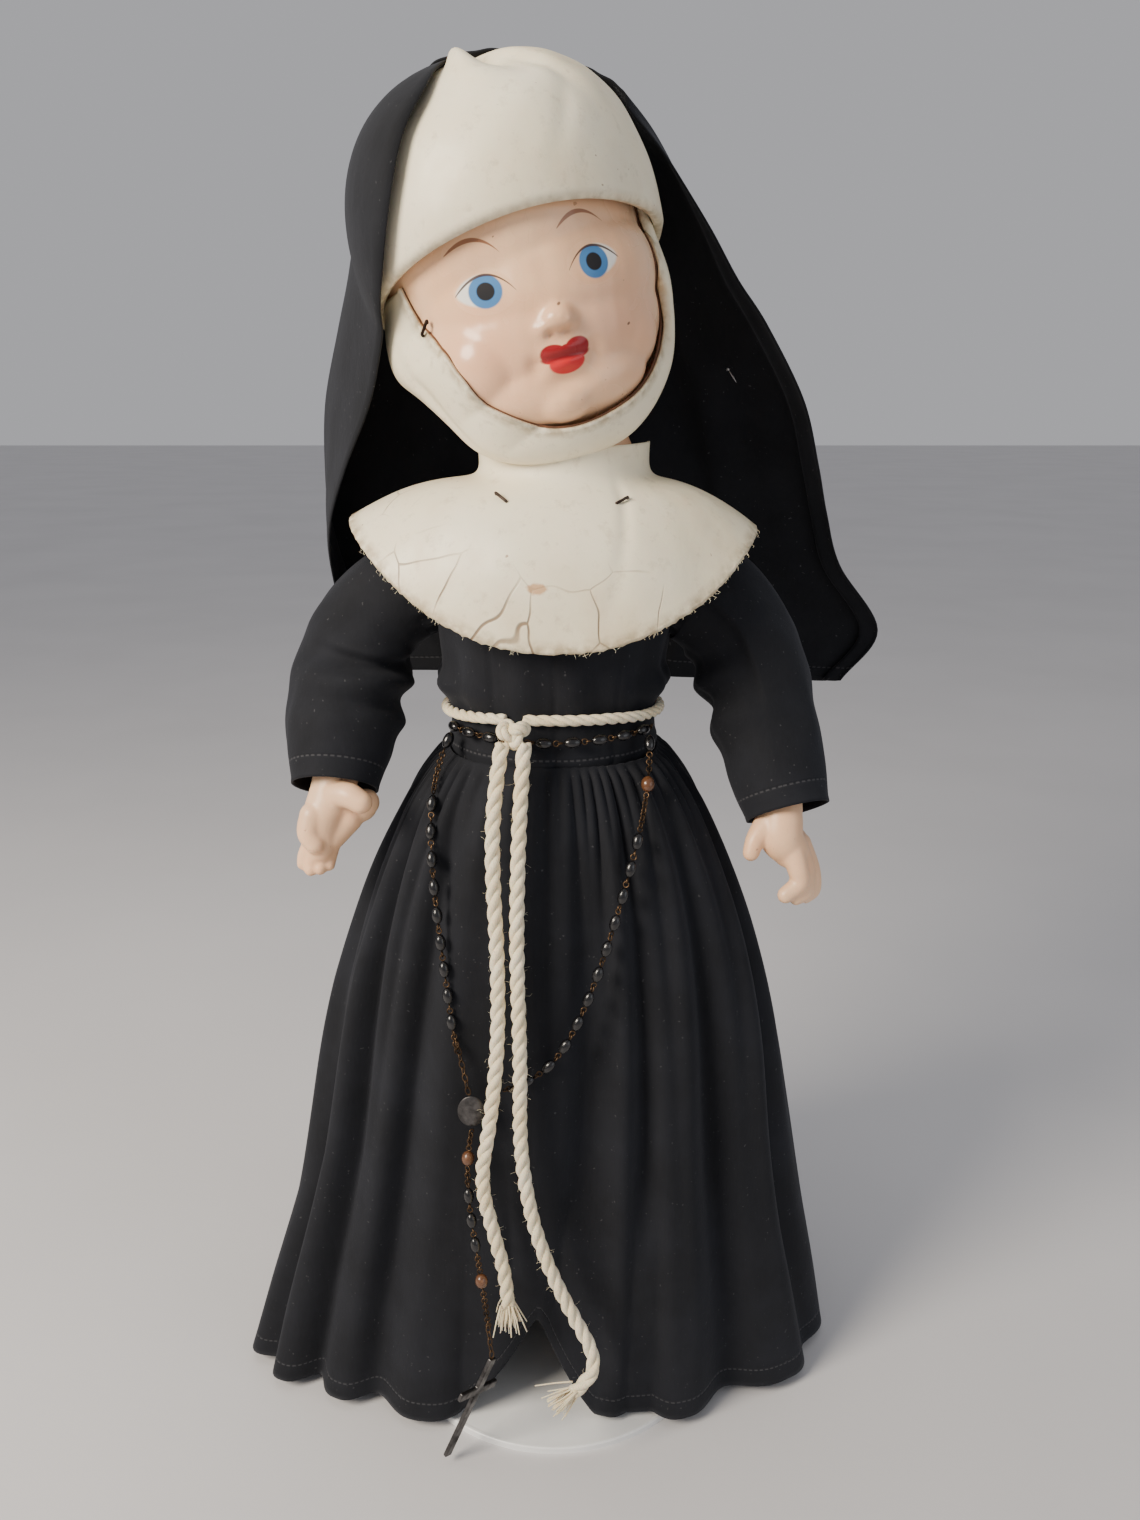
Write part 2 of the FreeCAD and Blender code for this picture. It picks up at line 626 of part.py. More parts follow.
# ---------------------------------------------------------------- cord belt
SHORT_END = [
    V(-20, -54, 336), V(-23.5, -59, 316), V(-24.5, -63.5, 286), V(-22.5, -66.5, 246),
    V(-23, -69, 206), V(-27, -70, 170), V(-32, -70.4, 142), V(-26, -70.6, 114),
    V(-21, -71, 92), V(-20.5, -71.5, 78),
]
LONG_END = [
    V(-11, -54, 336), V(-12.5, -59, 316), V(-14, -63.5, 286), V(-14.8, -67, 246), V(-13.5, -69, 200),
    V(-14.5, -70, 160), V(-10, -71, 125), V(-2, -72, 98), V(9, -74, 74), V(18, -77, 58),
    V(18, -80, 46), V(9, -82, 40),
]
KNOT = V(-15.5, -48.5, 342)
TASSEL = 14.0


def belt_loop(start, end):
    """The cord round the waist, as short runs from one angle to the other, past the back."""
    gap = BELT_CORD_R + 1.5
    points = []
    steps = 18
    for i in range(steps + 1):
        t = radians(start + (end - start) * i / steps)
        depth = 38.5 if sin(t) > 0 else 46.5
        points.append(V((43.8 + gap) * cos(t), -(depth + gap) * sin(t), BELT_Z))
    return limb([(point, BELT_CORD_R) for point in points])


def cord_belt():
    knot = ellipsoid(KNOT, (8.5, 7.5, 7.0))
    save("belt_knot", knot)
    save("belt_cord", belt_loop(122, 360 + 98).cut(knot))
    for name, route in (("short", SHORT_END), ("long", LONG_END)):
        cord = tube_along(rounded_path(route), CORD_R)
        save("cord_end_" + name, cord.cut(knot))
        way = route[-1] - route[-2]
        save("tassel_" + name, Part.makeCone(CORD_R * 0.9, CORD_R * 1.7, TASSEL, route[-1], way))


# ---------------------------------------------------------------- rosary
MEDAL = V(-35.5, 0, 172)
# x and z of each strand; y follows the skirt
LEFT_STRAND = [(-43, 333), (-51, 306), (-50.5, 280), (-47.5, 250), (-44.5, 224), (-40.5, 197), (MEDAL.x, MEDAL.z + 9)]
RIGHT_STRAND = [(41, 333), (38.5, 306), (31, 276), (22, 245), (11, 215), (-3, 193), (-20, 183), (MEDAL.x + 3, MEDAL.z + 8)]
PENDANT = [(MEDAL.x, MEDAL.z - 9), (-37.5, 145), (-35.5, 115), (-32, 90), (-29.5, 70), (-27.5, 57)]
CROSS_TOP = V(-27.5, -77.5, 54.5)
CROSS_FOOT = V(-49, -82, 4.5)


def bead(place, way, radius, half):
    shape = ellipsoid(V(0, 0, 0), (radius, radius, half))
    shape.Placement = FreeCAD.Placement(place, FreeCAD.Rotation(UP, way))
    return shape


def link(place, way, twist):
    shape = Part.makeTorus(LINK_R, LINK_WIRE_R)
    turn = FreeCAD.Rotation(UP, way).multiply(FreeCAD.Rotation(UP, twist)).multiply(FreeCAD.Rotation(ALONG_X, 90))
    shape.Placement = FreeCAD.Placement(place, turn)
    return shape


def strand_curve(points, stand_off, forward=0.0):
    curve = Part.BSplineCurve()
    spots = []
    for x, z in points:
        clear = stand_off + forward * (MEDAL.z - z) + 2.5 * max(0.0, (z - 280) / 50)
        spots.append(V(x, skirt_front(x, z) - clear, z))
    curve.interpolate(Points=spots)
    return curve.toShape()


def thread(curve, plan, beads, large, links):
    """Strings pieces along a curve. plan is a text of b for bead, o for large bead and c for bare chain."""
    at = 0.0
    for kind in plan:
        if kind == "c":
            at -= LINK_EDGE - LINK_PITCH
        else:
            radius, half = (BEAD_R, BEAD_HALF) if kind == "b" else (2.8, 3.4)
            if at + 2 * half > curve.Length:
                return
            here = curve.getParameterByLength(at + half)
            group = beads if kind == "b" else large
            group.append(bead(curve.valueAt(here), curve.tangentAt(here), radius, half))
            at += 2 * half + LINK_EDGE
        for twist in (0, 90):
            if at + LINK_EDGE > curve.Length:
                return
            here = curve.getParameterByLength(at)
            links.append(link(curve.valueAt(here), curve.tangentAt(here), twist))
            at += LINK_PITCH
        at += LINK_EDGE - LINK_PITCH


def rosary():
    beads, large, links = [], [], []
    stand_off = 4.1
    thread(strand_curve(LEFT_STRAND, stand_off), "bccccc" + "b" * 9 + "cc", beads, large, links)
    thread(strand_curve(RIGHT_STRAND, stand_off), "bccocccc" + "b" * 11 + "c", beads, large, links)
    thread(strand_curve(PENDANT, stand_off + 0.6, 0.05), "cccoccbbbccoccccc", beads, large, links)
    front = []
    rx, ry = 43.8 + 4.2, 38.5 + 4.4
    for i in range(13):
        t = pi + pi * (0.13 + 0.74 * i / 12)
        front.append(V(rx * cos(t), ry * sin(t) * 1.06, 333.6 + 1.2 * abs(cos(t))))
    curve = Part.BSplineCurve()
    curve.interpolate(Points=front)
    thread(curve.toShape(), "b" * 10, beads, large, links)
    save("rosary_beads", *beads)
    save("rosary_large_beads", *large)
    save("rosary_links", *links)

    y = skirt_front(MEDAL.x, MEDAL.z) - 4.2
    plate = ellipsoid(V(MEDAL.x, y, MEDAL.z), (6.0, 1.0, 7.4))
    save("rosary_medal", plate)
    way = CROSS_FOOT - CROSS_TOP
    length = way.Length
    upright = box((-2.0, -1.0, -length), (2.0, 1.0, 0))
    bar = box((-12.0, -1.0, -length * 0.36), (12.0, 1.0, -length * 0.36 + 4.0))
    cross = upright.fuse(bar).removeSplitter()
    cross = cross.makeFillet(0.6, cross.Edges)
    cross.Placement = FreeCAD.Placement(CROSS_TOP, FreeCAD.Rotation(V(0, 0, -1), way).multiply(FreeCAD.Rotation(UP, 48)))
    save("crucifix", cross)


def main():
    os.makedirs("parts", exist_ok=True)
    for make in (stand, torso, arms, legs, stringing, head, headwear, veil, bodice, skirt, sleeves, cape, cord_belt, rosary):
        make()


main()
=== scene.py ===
"""The looks of a composition doll in a habit, built round its CAD frame as a Blender add-on."""
import json
from math import cos, pi, radians, sin, sqrt
import bmesh
import bpy
import numpy as np
from bpy.props import FloatProperty, FloatVectorProperty, IntProperty, PointerProperty
from mathutils import Matrix, Vector


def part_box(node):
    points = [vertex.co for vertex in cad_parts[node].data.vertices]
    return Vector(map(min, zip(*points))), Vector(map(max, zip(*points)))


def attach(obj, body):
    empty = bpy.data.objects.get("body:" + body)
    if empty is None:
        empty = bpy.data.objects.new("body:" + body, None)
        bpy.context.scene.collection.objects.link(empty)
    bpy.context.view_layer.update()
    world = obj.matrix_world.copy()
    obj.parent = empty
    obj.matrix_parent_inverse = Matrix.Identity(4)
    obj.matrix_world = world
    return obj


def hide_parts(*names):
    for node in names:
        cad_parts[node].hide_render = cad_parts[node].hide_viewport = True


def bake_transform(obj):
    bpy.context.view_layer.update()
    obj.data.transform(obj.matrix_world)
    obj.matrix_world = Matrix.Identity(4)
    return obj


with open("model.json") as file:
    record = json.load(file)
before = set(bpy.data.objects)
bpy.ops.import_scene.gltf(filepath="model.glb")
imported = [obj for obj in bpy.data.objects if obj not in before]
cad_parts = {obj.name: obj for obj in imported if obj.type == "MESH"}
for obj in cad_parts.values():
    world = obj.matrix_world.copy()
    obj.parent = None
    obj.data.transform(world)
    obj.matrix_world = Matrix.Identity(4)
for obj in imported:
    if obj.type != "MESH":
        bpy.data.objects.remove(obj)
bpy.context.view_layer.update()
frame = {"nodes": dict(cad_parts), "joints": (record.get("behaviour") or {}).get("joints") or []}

bl_info = {
    "name": "Dressed Composition Doll",
    "version": (1, 0, 0),
    "blender": (4, 5, 0),
    "location": "View3D > Sidebar > Doll",
    "description": "Builds the skin, habit, cord belt and studio round a jointed doll's frame",
    "category": "Object",
}

MM = 0.001
METRE = 1000.0  # in millimetres


# ---------------------------------------------------------------- settings
def length(label, about, millimetres, low=0.01, high=2000):
    """A length setting, held in metres."""
    return FloatProperty(
        name=label, description=about, default=millimetres * MM, min=low * MM, max=high * MM,
        unit="LENGTH", subtype="DISTANCE",
    )


def colour(label, about, value):
    return FloatVectorProperty(
        name=label, description=about, default=value, size=3, min=0.0, max=1.0, subtype="COLOR"
    )


def angle(label, about, degrees):
    return FloatProperty(
        name=label, description=about, default=radians(degrees), subtype="ANGLE", unit="ROTATION"
    )


class HabitSettings(bpy.types.PropertyGroup):
    cloth: length("Cloth", "Thickness of the black cotton", 0.9)
    hem: length("Hem", "Depth of the turned and stitched hem", 9.0)
    fold_depth: length("Fold depth", "How deep the skirt's folds run at the hem", 17.0)
    gathers: IntProperty(
        name="Gathers", description="Small pleats drawn in at the waist", default=58, min=8, max=120
    )
    habit_colour: colour("Habit colour", "Black cotton of the dress", (0.0056, 0.0062, 0.0085))
    veil_colour: colour("Veil colour", "Black cotton of the veil", (0.0048, 0.0053, 0.0070))
    lint_colour: colour("Lint colour", "Dust and fibres caught on the black cloth", (0.085, 0.085, 0.09))


class HeadSettings(bpy.types.PropertyGroup):
    turn: angle("Turn", "How far the head is turned at rest", 12.0)
    lean: angle("Lean", "How far the head leans at rest", 14.5)
    skin_colour: colour("Skin colour", "Flesh paint on the composition", (0.88, 0.53, 0.31))
    blush_colour: colour("Blush colour", "Warmer paint on the cheeks", (0.82, 0.40, 0.27))
    iris_colour: colour("Iris colour", "Painted blue of the eyes", (0.055, 0.19, 0.42))
    lip_colour: colour("Lip colour", "Painted red of the lips", (0.50, 0.012, 0.018))
    brow_colour: colour("Brow colour", "Thin painted brows", (0.26, 0.10, 0.045))
    oilcloth_colour: colour(
        "Oilcloth colour", "Cream coated cloth of the cap, band and cape", (0.87, 0.77, 0.55)
    )
    stain_colour: colour("Stain colour", "Yellow-brown age marks", (0.50, 0.33, 0.14))


class BeltSettings(bpy.types.PropertyGroup):
    cord: length("Cord", "Diameter of the hanging cord", 6.4)
    waist_cord: length("Waist cord", "Diameter of the cord where it is pulled tight", 4.8)
    lay: length("Lay", "Length in which a strand goes once round the cord", 22.0)
    cord_colour: colour("Cord colour", "Unbleached cotton", (0.80, 0.68, 0.44))


class StudioSettings(bpy.types.PropertyGroup):
    camera_at: FloatVectorProperty(
        name="Camera", description="Where the camera stands", subtype="XYZ",
        default=(0.0075, -0.533, 0.471),
    )
    camera_pitch: angle("Pitch", "How far the camera looks down", 16.5)
    lens: FloatProperty(
        name="Lens", description="Focal length in millimetres", default=29.13, min=10, max=200
    )
    floor_colour: colour("Floor colour", "Pale floor that the doll stands on", (0.62, 0.61, 0.62))
    key_power: FloatProperty(
        name="Key light", description="Power of the main soft light", default=27.0, unit="POWER"
    )
    fill_power: FloatProperty(
        name="Fill light", description="Power of the fill light", default=2.2, unit="POWER"
    )


GROUPS = {
    "doll_habit": HabitSettings,
    "doll_head": HeadSettings,
    "doll_belt": BeltSettings,
    "doll_studio": StudioSettings,
}


def settings(group):
    return getattr(bpy.context.scene, group)


def bell(off, reach):
    """1 in the middle, falling away on both sides over reach."""
    return np.exp(-((off / reach) ** 2))


# ---------------------------------------------------------------- meshes
def select_only(obj):
    bpy.ops.object.select_all(action="DESELECT")
    obj.select_set(True)
    bpy.context.view_layer.objects.active = obj


def apply_modifier(obj, kind, **values):
    select_only(obj)
    modifier = obj.modifiers.new(kind.title(), kind)
    for key, value in values.items():
        setattr(modifier, key, value)
    bpy.ops.object.modifier_apply(modifier=modifier.name)


def points_of(obj):
    flat = np.empty(len(obj.data.vertices) * 3, dtype=np.float32)
    obj.data.vertices.foreach_get("co", flat)
    return flat.reshape(-1, 3).astype(float)


def set_points(obj, points):
    obj.data.vertices.foreach_set("co", np.asarray(points, dtype=np.float32).ravel())
    obj.data.update()


def smooth_shading(obj):
    obj.data.polygons.foreach_set("use_smooth", [True] * len(obj.data.polygons))
    obj.data.update()


def face_outwards(obj):
    mesh = bmesh.new()
    mesh.from_mesh(obj.data)
    bmesh.ops.remove_doubles(mesh, verts=mesh.verts, dist=1e-7)
    bmesh.ops.recalc_face_normals(mesh, faces=mesh.faces)
    mesh.to_mesh(obj.data)
    mesh.free()


def new_object(name, points, faces):
    mesh = bpy.data.meshes.new(name)
    mesh.from_pydata([tuple(p) for p in points], [], faces)
    obj = bpy.data.objects.new(name, mesh)
    bpy.context.scene.collection.objects.link(obj)
    smooth_shading(obj)
    return obj


def quads_of(rows, columns, wrap):
    faces = []
    for r in range(rows - 1):
        for c in range(columns if wrap else columns - 1):
            d = (c + 1) % columns
            faces.append((r * columns + c, r * columns + d, (r + 1) * columns + d, (r + 1) * columns + c))
    return faces


def cloth_piece(name, grid, wrap, thickness, offset=-1.0):
    """A sheet of cloth through a grid of points in metres, its last row the hem.

    Its UV map is in metres: U runs along the rows and V is the height above the hem.
    """
    rows, columns, _ = grid.shape
    obj = new_object(name, grid.reshape(-1, 3), quads_of(rows, columns, wrap))
    closed = np.concatenate([grid, grid[:, :1]], axis=1) if wrap else grid
    along = np.zeros(closed.shape[:2])
    along[:, 1:] = np.cumsum(np.linalg.norm(np.diff(closed, axis=1), axis=2), axis=1)
    along[:] = along[-1]
    down = np.zeros(closed.shape[:2])
    down[1:] = np.cumsum(np.linalg.norm(np.diff(closed, axis=0), axis=2), axis=0)
    above = down[-1] - down
    layer = obj.data.uv_layers.new(name="Cloth")
    coordinates = []
    for r in range(rows - 1):
        for c in range(columns if wrap else columns - 1):
            for i, j in ((r, c), (r, c + 1), (r + 1, c + 1), (r + 1, c)):
                coordinates += [along[i, j], above[i, j]]
    layer.data.foreach_set("uv", coordinates)
    apply_modifier(obj, "SOLIDIFY", thickness=thickness, offset=offset, use_even_offset=False)
    face_outwards(obj)
    smooth_shading(obj)
    return obj


def frames_along(path):
    """Unit tangent, side and up at each point of a path, turning as little as possible."""
    path = np.asarray(path, dtype=float)
    tangent = np.gradient(path, axis=0)
    tangent /= np.linalg.norm(tangent, axis=1)[:, None]
    side = np.cross(tangent[0], [0.0, 0.0, 1.0])
    if np.linalg.norm(side) < 0.1:
        side = np.cross(tangent[0], [0.0, 1.0, 0.0])
    sides = []
    for t in tangent:
        side = side - t * side.dot(t)
        side = side / np.linalg.norm(side)
        sides.append(side)
    sides = np.array(sides)
    return tangent, sides, np.cross(tangent, sides)


def tube_points(path, radii, around):
    """Vertices and faces of a closed round tube with a radius at each point of its path."""
    path = np.asarray(path, dtype=float)
    _, side, up = frames_along(path)
    turn = np.linspace(0, 2 * pi, around, endpoint=False)
    ring = np.cos(turn)[None, :, None] * side[:, None] + np.sin(turn)[None, :, None] * up[:, None]
    points = (path[:, None] + ring * np.broadcast_to(radii, len(path))[:, None, None]).reshape(-1, 3)
    faces = quads_of(len(path), around, True)
    faces.append(tuple(range(around))[::-1])
    faces.append(tuple(range((len(path) - 1) * around, len(path) * around)))
    return points, faces


def tubes_piece(name, tubes, around):
    """One object of several closed tubes, each given as (path, radii)."""
    points, faces = [], []
    for path, radii in tubes:
        start = sum(len(p) for p in points)
        tube, quads = tube_points(path, radii, around)
        points.append(tube)
        faces += [tuple(i + start for i in face) for face in quads]
    obj = new_object(name, np.concatenate(points), faces)
    face_outwards(obj)
    return obj


def smooth_line(points, count):
    """A smooth curve through points, as that many points, by Catmull and Rom's rule."""
    points = np.asarray(points, dtype=float)
    padded = np.concatenate([[2 * points[0] - points[1]], points, [2 * points[-1] - points[-2]]])
    out = []
    for u in np.linspace(0, len(points) - 1 - 1e-9, count):
        i = int(u)
        t = u - i
        a, b, c, d = padded[i : i + 4]
        curved = (2 * a - 5 * b + 4 * c - d) * t**2
        out.append(0.5 * (2 * b + (c - a) * t + curved + (3 * b - a - 3 * c + d) * t**3))
    return np.array(out)


def ball(centre, radii):
    """A sphere stretched to radii, as a loose object for joining."""
    bpy.ops.mesh.primitive_uv_sphere_add(segments=40, ring_count=24, radius=1.0, location=(0, 0, 0))
    obj = bpy.context.object
    place = Matrix.Translation(Vector(centre)) @ Matrix.Diagonal((*radii, 1.0))
    obj.data.transform(place)
    return obj


def joined(name, pieces):
    bpy.ops.object.select_all(action="DESELECT")
    for piece in pieces:
        piece.select_set(True)
    bpy.context.view_layer.objects.active = pieces[0]
    bpy.ops.object.join()
    obj = bpy.context.object
    obj.name = obj.data.name = name
    return obj


def melted(obj, voxel, smoothing):
    """Joins overlapping forms into one skin and smooths the creases between them."""
    apply_modifier(obj, "REMESH", mode="VOXEL", voxel_size=voxel, use_smooth_shade=True)
    apply_modifier(obj, "SMOOTH", factor=0.5, iterations=smoothing)
    smooth_shading(obj)
    return obj


# ---------------------------------------------------------------- node trees
class Finish:
    """One material's node tree, built in short calls."""

    def __init__(self, name):
        self.material = bpy.data.materials.new(name)
        self.material.use_nodes = True
        self.tree = self.material.node_tree
        self.shader = self.tree.nodes["Principled BSDF"]

    def add(self, kind, inputs=(), **values):
        node = self.tree.nodes.new(kind)
        for key, value in values.items():
            setattr(node, key, value)
        for key, value in dict(inputs).items():
            self.feed(node.inputs[key], value)
        return node

    def feed(self, socket, value):
        if isinstance(value, bpy.types.NodeSocket):
            self.tree.links.new(value, socket)
        else:
            socket.default_value = value

    def place(self):
        return self.add("ShaderNodeTexCoord").outputs["Object"]

    def cloth_place(self):
        return self.add("ShaderNodeTexCoord").outputs["UV"]

    def maths(self, operation, a, b=0.0):
        node = self.add("ShaderNodeMath", operation=operation)
        for socket, value in zip(node.inputs, (a, b)):
            self.feed(socket, value)
        return node.outputs[0]

    def times(self, a, b):
        return self.maths("MULTIPLY", a, b)

    def plus(self, a, b):
        return self.maths("ADD", a, b)

    def minus(self, a, b):
        return self.maths("SUBTRACT", a, b)

    def most(self, a, b):
        return self.maths("MAXIMUM", a, b)

    def fade(self, value, start, end):
        """0 below start and 1 above end, or the other way round where end is the smaller."""
        inputs = {"Value": value, "From Min": start, "From Max": end}
        return self.add("ShaderNodeMapRange", inputs, clamp=True).outputs["Result"]

    def noise(self, scale, detail=3.0, rough=0.55, stretch=None):
        vector = self.place()
        if stretch:
            vector = self.add("ShaderNodeMapping", {"Vector": vector, "Scale": stretch}).outputs[0]
        inputs = {"Vector": vector, "Scale": scale, "Detail": detail, "Roughness": rough}
        return self.add("ShaderNodeTexNoise", inputs).outputs["Fac"]

    def mix(self, share, first, second):
        def full(value):
            return value if isinstance(value, bpy.types.NodeSocket) else (*value[:3], 1.0)

        node = self.add("ShaderNodeMix", data_type="RGBA")
        for index, value in ((0, share), (6, full(first)), (7, full(second))):
            self.feed(node.inputs[index], value)
        return node.outputs[2]

    def tint(self, under, mask, share, colour):
        """Lays a colour over another, at a share of its strength where the mask is 1."""
        return self.mix(self.times(mask, share), under, colour)

    def bump(self, height, distance, strength=1.0, under=None):
        inputs = {"Height": height, "Distance": distance, "Strength": strength}
        if under:
            inputs["Normal"] = under
        return self.add("ShaderNodeBump", inputs).outputs[0]

    def split(self, vector):
        return self.add("ShaderNodeSeparateXYZ", {"Vector": vector}).outputs

    def set(self, **inputs):
        names = {"base": "Base Color", "rough": "Roughness", "metal": "Metallic", "normal": "Normal",
                 "coat": "Coat Weight", "coat_rough": "Coat Roughness", "sheen": "Sheen Weight",
                 "sheen_rough": "Sheen Roughness", "specular": "Specular IOR Level",
                 "scatter": "Subsurface Weight", "scatter_size": "Subsurface Scale",
                 "sheen_tint": "Sheen Tint", "transmission": "Transmission Weight"}
        for key, value in inputs.items():
            if isinstance(value, tuple) and len(value) == 3:
                value = (*value, 1.0)
            self.feed(self.shader.inputs[names[key]], value)
        return self.material


FINISHES = {}


def finish(name):
    """The named material, made the first time that it is asked for."""
    if name not in FINISHES:
        make, *values = MATERIALS[name]
        FINISHES[name] = make(name, *values)
    return FINISHES[name]


def wear(obj, name, body, replaces=()):
    """Gives a piece its material, its body and the CAD nodes that it stands for.

    A piece that is blended between two bodies has no body here.
    """
    obj.data.materials.clear()
    obj.data.materials.append(finish(name))
    if body:
        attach(obj, body)
    if replaces:
        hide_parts(*replaces)
    return obj


THREAD = 0.55 * MM
STITCH = 2.6 * MM
STITCH_COLOUR = (0.05, 0.05, 0.055)


def black_cotton(name, colour_setting, sheen):
    """Plain-weave black cotton, a little faded and dusty, with a row of stitches above the hem."""
    habit = settings("doll_habit")
    base = tuple(getattr(habit, colour_setting))
    f = Finish(name)
    u, v, _ = f.split(f.cloth_place())
    thread = 2 * pi / THREAD
    weft = f.maths("SINE", f.times(u, thread))
    warp = f.maths("SINE", f.times(v, thread))
    weave = f.times(weft, warp)
    slub = f.noise(900, 2.0, stretch=(1.0, 1.0, 0.12))
    fade = f.fade(f.noise(22, 4.0, 0.6), 0.42, 0.72)
    worn = f.mix(fade, base, tuple(min(1.0, c * 2.1) for c in base))
    worn = f.tint(worn, slub, 0.35, tuple(c * 2.6 for c in base))
    dust = f.fade(f.noise(620, 1.0), 0.735, 0.775)
    worn = f.tint(worn, dust, 0.5, tuple(habit.lint_colour))
    row = f.maths("ABSOLUTE", f.minus(v, habit.hem))
    in_row = f.fade(row, 0.45 * MM, 0.30 * MM)
    dash = f.fade(f.maths("FRACT", f.maths("DIVIDE", u, STITCH)), 0.62, 0.58)
    stitch = f.times(in_row, dash)
    worn = f.tint(worn, stitch, 0.8, STITCH_COLOUR)
    normal = f.bump(weave, 0.05 * MM, 0.35)
    normal = f.bump(slub, 0.12 * MM, 0.4, normal)
    normal = f.bump(f.fade(row, 0.0, 1.0 * MM), 0.35 * MM, 0.8, normal)
    normal = f.bump(f.noise(85, 4.0), 1.1 * MM, 0.35, normal)
    rough = f.fade(f.noise(60, 3.0), -0.6, 1.1)
    return f.set(base=worn, rough=f.plus(f.times(rough, 0.2), 0.72), normal=normal,
                 sheen=sheen, sheen_rough=0.45, sheen_tint=(0.55, 0.58, 0.68), specular=0.25)


PALE_CREAM = (0.92, 0.86, 0.70)
GRIME = (0.30, 0.22, 0.13)
SPECK_BROWN = (0.26, 0.14, 0.06)
EDGE_SOIL = (0.31, 0.23, 0.12)
CRACK_BROWN = (0.20, 0.12, 0.06)
CRACK_WANDER = (0.02, 0.02, 0.02)
# The rust spot on the cape: x and z of its middle, and its reach both ways
RUST_SPOT = (-5.3 * MM, 399.5 * MM, 5.0 * MM, 2.6 * MM)
RUST = (0.55, 0.27, 0.10)


def oilcloth(name, cracked):
    """Cream coated cloth with yellowed blotches, grime and, on the cape, curved hair cracks."""
    head = settings("doll_head")
    f = Finish(name)
    blotch = f.fade(f.noise(26, 4.0, 0.6), 0.50, 0.78)
    base = f.mix(f.times(blotch, 0.45), tuple(head.oilcloth_colour), tuple(head.stain_colour))
    pale = f.fade(f.noise(11, 3.0), 0.40, 0.66)
    base = f.tint(base, pale, 0.6, PALE_CREAM)
    grime = f.times(f.fade(f.noise(160, 5.0, 0.7), 0.56, 0.75), 0.35)
    base = f.mix(grime, base, GRIME)
    speck = f.fade(f.noise(330, 1.5), 0.765, 0.80)
    base = f.tint(base, speck, 0.7, SPECK_BROWN)
    _, v, _ = f.split(f.cloth_place())
    soil = f.times(f.fade(v, 6.0 * MM, 2.0 * MM), f.fade(f.noise(240, 4.0), 0.30, 0.62))
    base = f.tint(base, soil, 0.65, EDGE_SOIL)
    normal = f.bump(f.noise(1500, 3.0), 0.05 * MM, 0.5)
    normal = f.bump(f.noise(70, 4.0), 0.7 * MM, 0.45, normal)
    if cracked:
        warp = f.add("ShaderNodeTexNoise", {"Vector": f.place(), "Scale": 24.0, "Detail": 2.0})
        bent = f.add("ShaderNodeVectorMath", {0: f.place(), 1: f.add(
            "ShaderNodeVectorMath", {0: warp.outputs["Color"], 1: CRACK_WANDER}, operation="MULTIPLY"
        ).outputs[0]}, operation="ADD").outputs[0]
        cells = f.add("ShaderNodeTexVoronoi", {"Vector": bent, "Scale": 38.0}, feature="DISTANCE_TO_EDGE")
        line = f.fade(cells.outputs["Distance"], 0.016, 0.006)
        where = f.times(f.fade(v, 34 * MM, 12 * MM), f.fade(f.noise(17, 2.0), 0.44, 0.55))
        x, _, z = f.split(f.place())
        spot_x, spot_z, spot_wide, spot_high = RUST_SPOT
        wide = f.maths("DIVIDE", f.minus(x, spot_x), spot_wide)
        high = f.maths("DIVIDE", f.minus(z, spot_z), spot_high)
        away = f.maths("SQRT", f.plus(f.times(wide, wide), f.times(high, high)))
        spot = f.fade(f.plus(away, f.times(f.noise(400, 3.0), 0.8)), 1.35, 1.05)
        base = f.tint(base, spot, 0.75, RUST)
        crack = f.times(line, where)
        base = f.tint(base, crack, 0.85, CRACK_BROWN)
        normal = f.bump(f.minus(1.0, crack), 0.35 * MM, 0.9, normal)
    rough = f.plus(f.times(blotch, 0.15), 0.42)
    return f.set(base=base, rough=rough, normal=normal, coat=0.12, coat_rough=0.3,
                 scatter=0.05, scatter_size=0.004)


def head_matrix():
    """Places head coordinates, in metres from the neck ball's centre, where the head is at rest."""
    head = settings("doll_head")
    neck = Vector(next(j["pos_m"] for j in frame["joints"] if j["name"] == "head_tilt"))
    turned = Matrix.Translation(neck) @ Matrix.Rotation(head.turn, 4, "Z")
    return turned @ Matrix.Rotation(-head.lean, 4, "Y")


